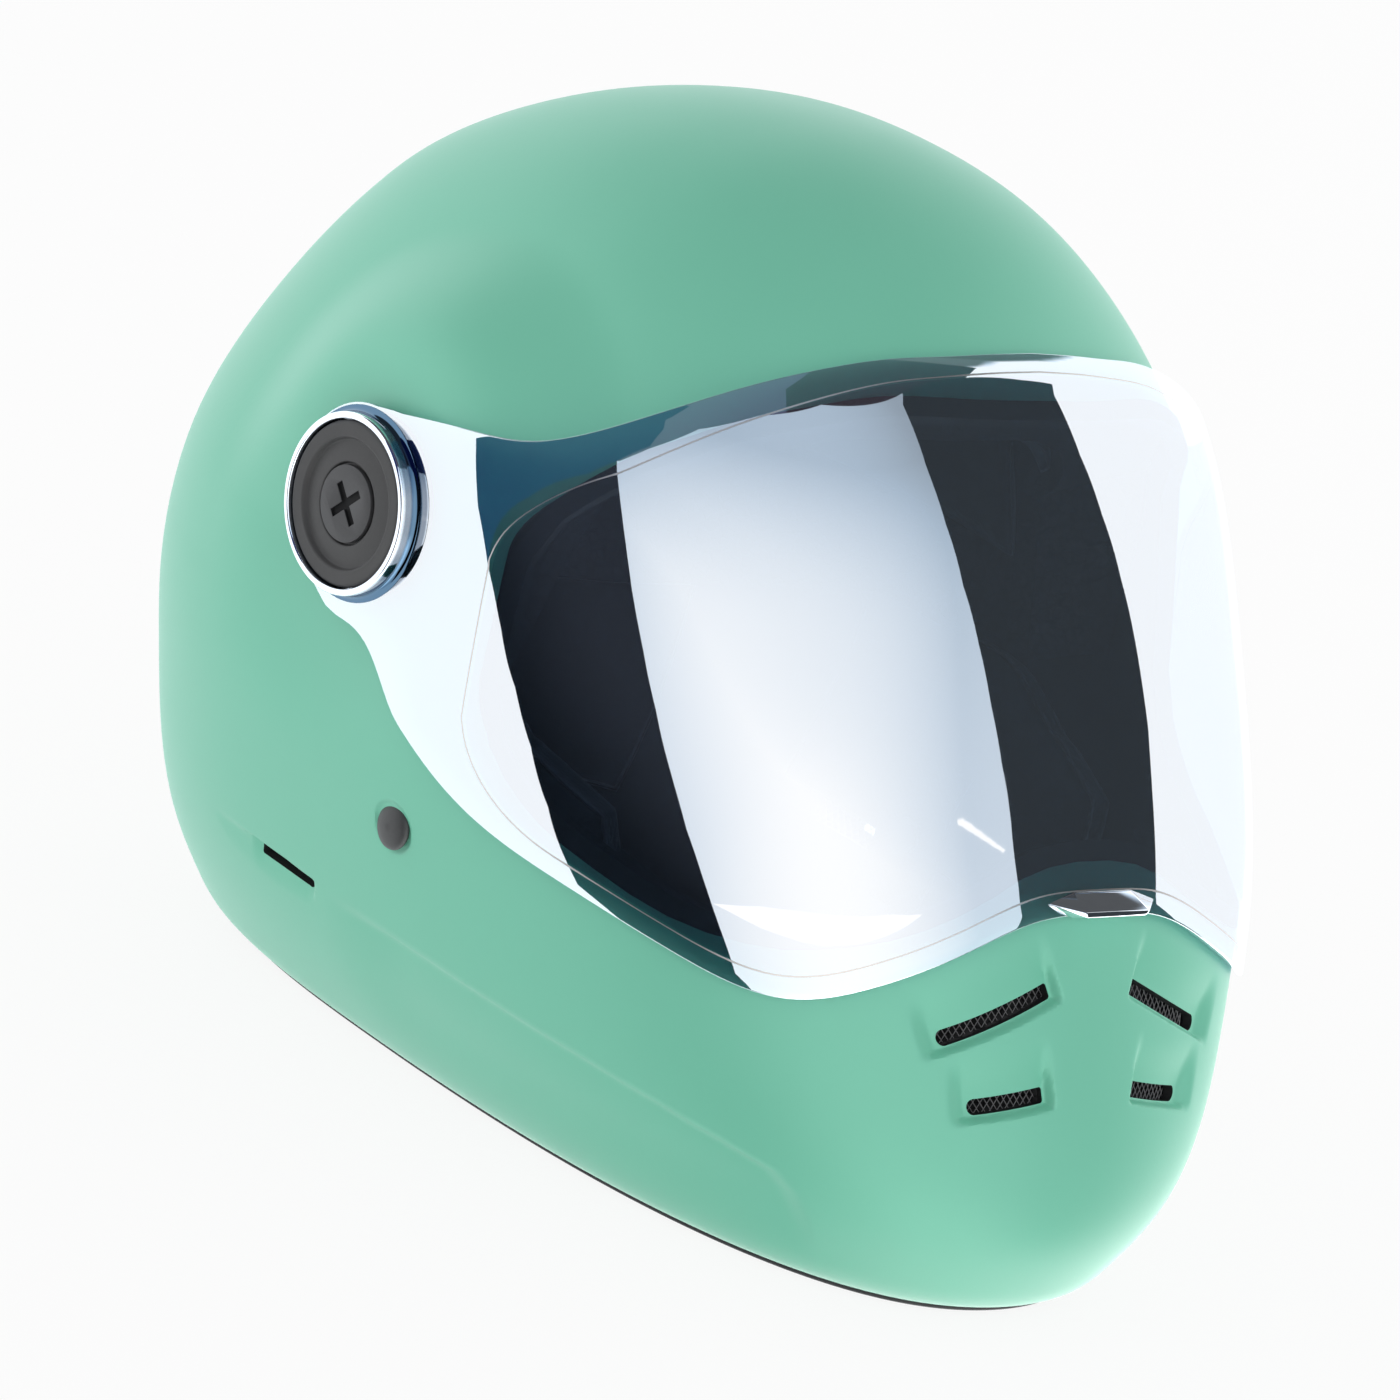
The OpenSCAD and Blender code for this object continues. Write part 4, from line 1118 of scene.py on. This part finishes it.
def open_slab(columns, rows, layers):
    """A flat slab without the walls that would meet at the back of the helmet and at the crown."""
    slab = flat_slab(columns, rows, layers)
    slab.normal_update()
    walls = [(f, f.calc_center_median()) for f in slab.faces if abs(f.normal.z) < 0.5]
    walls = [f for f, at in walls if at.x < 0.01 or at.x > columns - 0.01 or at.y > rows - 0.01]
    bmesh.ops.delete(slab, geom=walls, context="FACES")
    return slab


liner_columns = 120
liner_rows = 44
# Its columns crowd together where the lower edge drops past the ears: share of the way round, and angle
liner_spread = ([0, 0.4, 0.44, 1], [0, 73, 79, 180])
liner = open_slab(liner_columns, liner_rows, 1)


def liner_spot(column, row, layer):
    across = 2 * column / liner_columns - 1
    angle = np.sign(across) * np.interp(np.abs(across), *liner_spread)
    start = level_at(lining_low(angle))
    level = start + (top_level - start) * row / liner_rows
    return skin(angle, level, -shell_wall - lining_gap - foam_thick * layer)


lay(liner, liner_spot)
close_round(liner)
make_piece("head_foam", liner, "helmet", foam, "crown_liner", 40)
dress(foam, "chin_liner")

# Comfort pads
# Brushed black knit sewn over soft foam: crown pad, brow pad, two cheek pads and the neck roll.
knit = Finish("brushed_black_knit", Specular_IOR_Level=0.2, Sheen_Weight=0.35, Sheen_Roughness=0.5)
knit_spot = knit.place(0.0013)
knit_rows = knit_spot.node(
    "TexWave", {"wave_profile": "SIN"}, {"Vector": knit_spot, "Scale": 1.0, "Distortion": 1.5}
)
knit_cells = knit_spot.node("TexVoronoi", {"feature": "SMOOTH_F1"}, {"Vector": knit_spot, "Scale": 1.4})
knit_fuzz = knit.noise(0.0006, 3, 0.7)
knit_wear = knit.noise(0.03, 2)
knit_shade = 0.4 * knit_rows + 0.35 * knit_fuzz + 0.25 * knit_wear
knit.feed(
    Base_Color=knit_shade.tint((0.012, 0.012, 0.014, 1), (0.05, 0.05, 0.055, 1)),
    Roughness=0.82 + 0.12 * knit_fuzz,
    Normal=(knit_cells + 0.5 * knit_fuzz).bump(0.00022, 0.7),
)
welt = 0.25
seam_half = 0.035
seam_depth = 1.6


def pillow(name, node, angles, low, top, outer, inner, size, channels):
    """Sewn pad between two distances inside the shell, with a welt round its edge and sewn channels."""
    columns, rows, layers = size
    shape = flat_slab(columns, rows, layers)

    def place(column, row, layer):
        across, up, deep = 2 * column / columns - 1, 2 * row / rows - 1, layer / layers
        angle = angles[0] + (across + 1) / 2 * (angles[1] - angles[0])
        lowest, highest = low(angle), top(angle)
        height = lowest + (up + 1) / 2 * (highest - lowest)
        edge = np.minimum(1 - np.abs(across) ** 5, 1 - np.abs(up) ** 4)
        full = welt + (1 - welt) * np.sqrt(np.clip(edge, 0.03, 1))
        sewn = sum(np.exp(-(((across - c) / seam_half) ** 2)) for c in channels)
        out = (outer + inner) / 2 + (outer - inner) / 2 * (1 - 2 * deep) * full + seam_depth * sewn * deep
        return skin(angle, level_at(height), out)

    lay(shape, place)
    bmesh.ops.recalc_face_normals(shape, faces=shape.faces)
    made = make_piece(name, shape, "helmet", knit, node, 180)


cheek_low = 46.5
cheek_top = 117
cheek_lap = 7.5
cheek_round = 12


def cheek_edge(angle):
    """Upper edge of a cheek pad: below the eye port, then up beside the ear."""
    below_port = through(visor_low, np.minimum(np.abs(angle), port_end)) + cheek_lap
    return below_port + (cheek_top - below_port) * ease(np.abs(angle), port_end, port_end + cheek_round)


pad_out = -shell_wall - lining_gap - foam_thick - lining_gap
comfort = 6.5
brow_low = 3
brow_h = 28
cheek_out = -16
cheek_in = -43
neck_low = 24.5
neck_out = -shell_wall - lining_gap
neck_thick = 20
for side, name in both_sides:
    pillow(
        "cheek_cushion_" + name, "cheek_pad_" + name, (63, 100) if side > 0 else (-100, -63),
        lambda a: cheek_low, cheek_edge, cheek_out, cheek_in, (44, 34, 6), (-0.35, 0.3),
    )
pillow(
    "brow_cushion", "brow_pad", (-60, 60), lambda a: lining_low(a) + brow_low, lambda a: lining_low(a) + brow_h,
    pad_out, pad_out - comfort, (90, 16, 4), (-0.5, 0, 0.5),
)
pillow(
    "neck_cushion", "neck_roll", (132, 228), lambda a: neck_low,
    lambda a: through(lining_side, np.where(a > 180, 360 - a, a)) - lining_gap - 0.5,
    neck_out, neck_out - neck_thick, (80, 24, 6), (-0.4, 0.4),
)

# The crown pad is quilted into four lobes, with a sewn ring round its middle
crown_columns = 96
crown_rows = 30
crown_pad_low = 160
crown_ring = 0.55
crown_ring_half = 0.04
crown = open_slab(crown_columns, crown_rows, 4)


def crown_spot(column, row, layer):
    angle = 180 * (2 * column / crown_columns - 1)
    start = level_at(np.clip(lining_low(angle) + brow_h + 3, crown_pad_low, crown_height - 8))
    up = row / crown_rows
    lobes = np.minimum(1, 3 * np.abs(np.sin(np.radians(angle * 2))) ** 0.5)
    ring = np.minimum(1, np.abs(up - crown_ring) / crown_ring_half)
    full = np.sqrt(np.clip(1 - (1 - up) ** 8, 0.05, 1))
    soft = full * (0.5 + 0.5 * np.minimum(lobes, ring))
    out = pad_out - comfort / 2 + comfort / 2 * (1 - layer / 2) * soft
    return skin(angle, start + (top_level - start) * up, out)


lay(crown, crown_spot)
close_round(crown)
crown_piece = make_piece("crown_cushion", crown, "helmet", knit, "crown_pad", 180)

# Chin strap
# Two lengths of black polyester webbing, 25 mm wide, looped through the anchor plates: the short one
# ends in a sewn loop for the D-rings, and the long one is tucked up inside and held by its snap.
webbing = Finish("black_webbing", Specular_IOR_Level=0.25, Sheen_Weight=0.2)
weave_spot = webbing.start.node("UVMap", {"uv_map": "along"})
ribs = weave_spot.node("Math", {"operation": "SINE"}, {0: 4.2 * weave_spot.part("X")})
picks = weave_spot.node("Math", {"operation": "SINE"}, {0: 3.1 * weave_spot.part("Y")})
weave = 0.5 + 0.5 * ribs * picks
webbing_fuzz = webbing.noise(0.0005, 2)
webbing.feed(
    Base_Color=(0.7 * weave + 0.3 * webbing_fuzz).tint((0.008, 0.008, 0.01, 1), (0.04, 0.04, 0.044, 1)),
    Roughness=0.7 + 0.15 * webbing_fuzz,
    Normal=(weave + 0.3 * webbing_fuzz).bump(0.00015, 0.8),
)
strap_w = 25
strap_t = 2
rivet_x = shell_point(82, level_at(rivet_at.z))[0]
anchor_in = rivet_x - 13
strap_start = [(anchor_in + 2.4, 60), (anchor_in - 1.5, 60), (anchor_in - 5, 48)]
ring_bar = (80, 38)
ring_wire = 1.6
long_way = strap_start + [
    (97, 40), (90, 30), (84, 18), (77, 13), (69, 15), (64, 26), (63, 38), (63, 54), (65.5, 62), (65.5, 78),
    (70, 92),
]
loop_r = 2 * ring_wire + 0.5 + strap_t / 2
short_way = strap_start + [(96, 41), (88, ring_bar[1] + 0.5 + loop_r * 0.6)]
short_way += arc(ring_bar, loop_r, 60, 330, 10)
band_steps = 8
band_rows = 6


def band(way, side):
    """Webbing along a way of places: distance from the middle, height."""
    columns = band_steps * (len(way) - 1)
    shape = flat_slab(columns, band_rows, 1)
    points = on_curve(way, np.linspace(0, len(way) - 1, columns + 1))
    along = np.gradient(points, axis=0)
    along = along / np.linalg.norm(along, axis=1, keepdims=True)
    length = np.concatenate([[0], np.cumsum(np.linalg.norm(np.diff(points, axis=0), axis=1))])
    flat = shape.loops.layers.uv.new("along")
    for face in shape.faces:
        for loop in face.loops:
            loop[flat].uv = (length[round(loop.vert.co.x)], loop.vert.co.y / band_rows * strap_w)

    def place(column, row, layer):
        i = np.round(column).astype(int)
        across = row / band_rows - 0.5
        # The edges of the webbing are thinner
        over = (layer - 0.5) * strap_t * (0.999 - 0.35 * (np.abs(across) > 0.48))
        x, z = points[i, 0] - along[i, 1] * over, points[i, 1] + along[i, 0] * over
        return np.stack([side * x, rivet_at.y + across * strap_w, z], 1)

    lay(shape, place)
    bmesh.ops.recalc_face_normals(shape, faces=shape.faces)
    return shape


make_piece("long_strap", band(long_way, 1), "strap_left", webbing, "strap_left", 60)
make_piece("short_strap", band(short_way, -1), "strap_right", webbing, "strap_right", 60)
dress(nylon, "strap_snap")

# Studio
# White surroundings, softer light from above, a lamp behind each shoulder and one low in front. A tent
# with a bright panel and a dark ceiling, and cards cut to shape in front of it, show only in reflections.
scene = bpy.context.scene
scene.view_settings.view_transform = "Standard"
floor_shape = bmesh.new()
bmesh.ops.create_grid(floor_shape, x_segments=1, y_segments=1, size=6)
floor = new_object("studio_floor", floor_shape)
floor.visible_glossy = False
floor_finish = Finish("pale_floor", Base_Color=(0.9, 0.9, 0.9, 1), Roughness=0.8)
camera_ray = floor_finish.start.node("LightPath", output="Is Camera Ray")
white = floor_finish.light((1, 1, 1, 1))
floor_finish.show(camera_ray.node("MixShader", {}, {0: 0.9 * camera_ray, 1: floor_finish.body, 2: white}))
floor.data.materials.append(floor_finish.material)

world = bpy.data.worlds.new("studio")
world.use_nodes = True
scene.world = world
rays = Value(world.node_tree).node("LightPath").socket.node.outputs
seen = Value(world.node_tree, rays["Is Camera Ray"])
for kind in ("Is Glossy Ray", "Is Transmission Ray"):
    seen = seen.node("Math", {"operation": "MAXIMUM"}, {0: seen, 1: Value(world.node_tree, rays[kind])})
sky_height = seen.node("TexCoord", output="Generated").part("Z")
soft_light = 0.82 - 0.18 * sky_height.within(0.2, 0.95)
background = world.node_tree.nodes["Background"]
world.node_tree.links.new((soft_light + (1 - soft_light) * seen).socket, background.inputs["Strength"])
background.inputs["Color"].default_value = (1, 1, 1, 1)

helmet_middle = Vector((0, middle_y, 150)) * mm
lamp_aim = Vector((0, 0, 130)) * mm
lamp_far = 2.2


def towards(azimuth, elevation, far):
    """Place at a distance from the helmet, with azimuth from the front towards its left side."""
    a, e = radians(azimuth), radians(elevation)
    return helmet_middle + Vector((np.sin(a) * np.cos(e), -np.cos(a) * np.cos(e), np.sin(e))) * far


def lamp(name, azimuth, elevation, size, power):
    light = bpy.data.lights.new(name, "AREA")
    light.shape = "DISK"
    light.size = size
    light.energy = power
    made = bpy.data.objects.new(name, light)
    scene.collection.objects.link(made)
    made.location = towards(azimuth, elevation, lamp_far)
    made.rotation_euler = (lamp_aim - made.location).to_track_quat("-Z", "Y").to_euler()
    made.visible_camera = False
    made.visible_glossy = False


lamp("key_lamp", -115, 15, 1.4, 5)
lamp("front_lamp", 12, 2, 1.0, 6.5)
lamp("rim_lamp", 88, 6, 0.8, 9)

# The tent: a ceiling from an elevation for each azimuth, and a panel that fades with elevation
tent_far = 7.0
full_white = 1.68
low_boost = 1.1
side_share = 0.92
panel_sides = (-85, 40)
panel_middle = -28
panel_half = 34
ceiling_edge = [
    [-180, 40], [-112, 40], [-100, 60], [-80, 40], [-71.5, 33], [-64, 41], [-53, 51], [-38, 58], [-18, 63],
    [21, 63], [63, 54], [74, 52], [84, 42], [100, 34], [130, 38], [180, 40],
]
panel_fade = [[-90, 1], [24, 1], [31, 0.87], [36, 0.8], [43, 0.68], [52, 0.52], [90, 0.45]]


def ceiling_start(azimuth):
    """Elevation from which the studio's dark ceiling shows."""
    return np.interp(azimuth, *np.transpose(ceiling_edge))


def glow(azimuth, elevation):
    """Colour of the tent in one direction."""
    share = side_share
    if panel_sides[0] < azimuth < panel_sides[1]:
        away = abs(azimuth - panel_middle) / panel_half
        share = np.interp(elevation, *np.transpose(panel_fade)) * (1 - 0.2 * min(away, 1.25) ** 2)
    # Behind the ceiling cards the tent's own ceiling starts a little higher, so that only their edge shows
    hidden = 4 if -80 < azimuth < 60 else 0
    ceiling = np.clip((elevation - ceiling_start(azimuth) - hidden) / 2.5, 0, 1)
    share = share * (1 - ceiling) + (0.1 if abs(azimuth) < 75 else 0.06) * ceiling
    # Low down it is brighter, from the front round to the helmet's left side
    low = np.clip((-12 - elevation) / 15, 0, 1)
    share += low_boost * low * np.clip((azimuth + 45) / 30, 0, 1) * np.clip((150 - azimuth) / 25, 0, 1)
    cool = np.clip(1 - share, 0, 1) * np.clip(share * 2, 0, 1) * 0.4
    return full_white * share * np.array([1 - cool, 1 - 0.1 * cool, 1 + 0.9 * cool])


def reflected(name, shape, finish):
    """Puts a shape round the helmet that is seen only in reflections."""
    made = new_object(name, shape)
    made.data.materials.append(finish.material)
    made.visible_camera = False
    made.visible_diffuse = False
    made.visible_transmission = False
    made.visible_shadow = False
    return made


tent_shape = bmesh.new()
bmesh.ops.create_uvsphere(tent_shape, u_segments=180, v_segments=90, radius=tent_far)
bmesh.ops.translate(tent_shape, verts=tent_shape.verts, vec=helmet_middle)
tent_finish = Finish("tent_cloth")
tent_glow = tent_finish.start.node("Attribute", {"attribute_name": "glow"}, output="Color")
tent_finish.show(tent_finish.light(tent_glow))
tent = reflected("reflection_tent", tent_shape, tent_finish)
shades = []
for vert in tent.data.vertices:
    way = (vert.co - helmet_middle).normalized()
    shades.extend([*glow(np.degrees(np.arctan2(way.x, -way.y)), np.degrees(np.arcsin(way.z))), 1])
tent.data.attributes.new("glow", "FLOAT_COLOR", "POINT").data.foreach_set("color", shades)

# Outlines of the cards as azimuth and elevation: dark flags, and the strips that make thin glints
flag_left = [
    (-90, -50), (-91.8, -27.4), (-92.1, -25.2), (-93.2, -17.3), (-97.2, -11.8), (-103.2, -8.4), (-108.4, -7.6),
    (-111.8, -7.8), (-106, -2), (-95, 9), (-86, 18), (-78, 26), (-71.5, 33.2),
    (-71, 31.4), (-67.5, 22.6), (-65.8, 17.8), (-64.5, 15.9), (-63.6, 12.9),
    (-63.5, 8.6), (-63.6, 4.4), (-61.4, -2.1), (-58.9, -11.1), (-56, -25), (-50, -50),
]
flag_corner = [
    (-111.8, -7.8), (-113.4, -5.3), (-112.5, 3.5), (-113, 20), (-110, 50), (-98, 66), (-72, 62), (-63, 52),
    (-62, 47), (-64.1, 41.4), (-71.5, 33.2), (-78, 26), (-86, 18), (-95, 9), (-106, -2),
]
flag_right = [
    (29, -40), (28, 0), (27, 15), (26.1, 22.2), (26.3, 23), (26, 24.6), (24.4, 25.6), (22.2, 27.7),
    (19.8, 30.7), (16.9, 35.3), (15.1, 42.1), (14.4, 50.7), (17.7, 61.2), (21.7, 63.1), (37.6, 61.2),
    (57.3, 53.8), (67.3, 47), (73.9, 41.2), (71.7, 40.8), (65.5, 34.3), (62.6, 27.6), (61.8, 21.8),
    (62.2, 17.9), (62.5, 14.5), (61.2, 12.8), (60.7, 12.2), (58, -40),
]
sheen_low = [
    (-60.6, -4), (-48.3, 4.3), (-37.7, 9.9), (-29.4, 13.5), (-11.7, 19.7), (-2, 21.6), (-9.5, 18.6),
    (-22.2, 12.5), (-33.8, 6.6), (-39.2, 4.1), (-49.3, -0.2), (-56.9, -2.7),
]
sheen_line = [(11.6, 26.62), (13.3, 26.5), (24.2, 24.52), (23.3, 24.6), (11.8, 26.5)]
card_far = 5.0
sheen_far = 5.5
ceiling_far = 6.0
sheen_white = (1.75, 1.75, 1.75, 1)


def card(name, shape, low_shade, high_shade=None, heights=(0, 1)):
    """Reflected card, in one shade or running to a second one between two heights, in metres."""
    cloth = Finish(name + "_cloth")
    rise = cloth.start.node("TexCoord", output="Object").part("Z").within(*heights)
    cloth.show(cloth.light(rise.tint(low_shade, high_shade or low_shade)))
    reflected(name, shape, cloth)


def cut_card(corners, far):
    """Flat card whose corners lie in directions given as azimuth and elevation."""
    shape = bmesh.new()
    bmesh.ops.create_circle(shape, cap_ends=True, segments=len(corners), radius=1)
    for vert, (azimuth, elevation) in zip(shape.verts, corners):
        vert.co = towards(azimuth, elevation, far)
    return shape


def ceiling_card(start, end):
    """Part of the dark ceiling between two azimuths, up to close overhead."""
    rows = 6
    shape = flat_slab(end - start, rows)

    def spot(column, row, _):
        low = ceiling_start(start + column)
        return [towards(a, e, ceiling_far) for a, e in zip(start + column, low + (89 - low) * row / rows)]

    lay(shape, spot)
    return shape


card("flag_left", cut_card(flag_left, card_far), (0.004, 0.005, 0.006, 1), (0.03, 0.034, 0.044, 1), (-1.0, 1.4))
card("flag_corner", cut_card(flag_corner, card_far), (0.008, 0.016, 0.1, 1))
card("flag_right", cut_card(flag_right, card_far), (0.04, 0.047, 0.053, 1))
card("ceiling_left", ceiling_card(-80, -30), (0.13, 0.14, 0.22, 1))
card("ceiling_right", ceiling_card(-30, 60), (0.055, 0.045, 0.056, 1))
card("sheen_low", cut_card(sheen_low, sheen_far), sheen_white)
card("sheen_line", cut_card(sheen_line, sheen_far), sheen_white)

# Camera
# A long lens from the wearer's front right, a little above, with the picture turned.
camera_turn = -44.97
camera_rise = 17.43
camera_roll = 15.37
camera_far = 2128.12
film_width = 36
lens_pixels = 8000
frame_pixels = 1400
aim_right = -5.01
aim_up = -29.23
aim_height = 130
back = (towards(camera_turn, camera_rise, 1) - helmet_middle).normalized()
right = Vector((np.cos(radians(camera_turn)), np.sin(radians(camera_turn)), 0))
tilt = Quaternion(back, radians(camera_roll))
right, up = tilt @ right, tilt @ back.cross(right)
camera_at = Vector((0, middle_y, aim_height)) + right * aim_right + up * aim_up + back * camera_far
camera_data = bpy.data.cameras.new("camera")
camera_data.sensor_width = film_width
camera_data.lens = film_width * lens_pixels / frame_pixels
camera_data.clip_end = 30
camera = bpy.data.objects.new("camera", camera_data)
scene.collection.objects.link(camera)
camera.matrix_world = Matrix.Translation(camera_at * mm) @ Matrix((right, up, back)).transposed().to_4x4()
scene.camera = camera
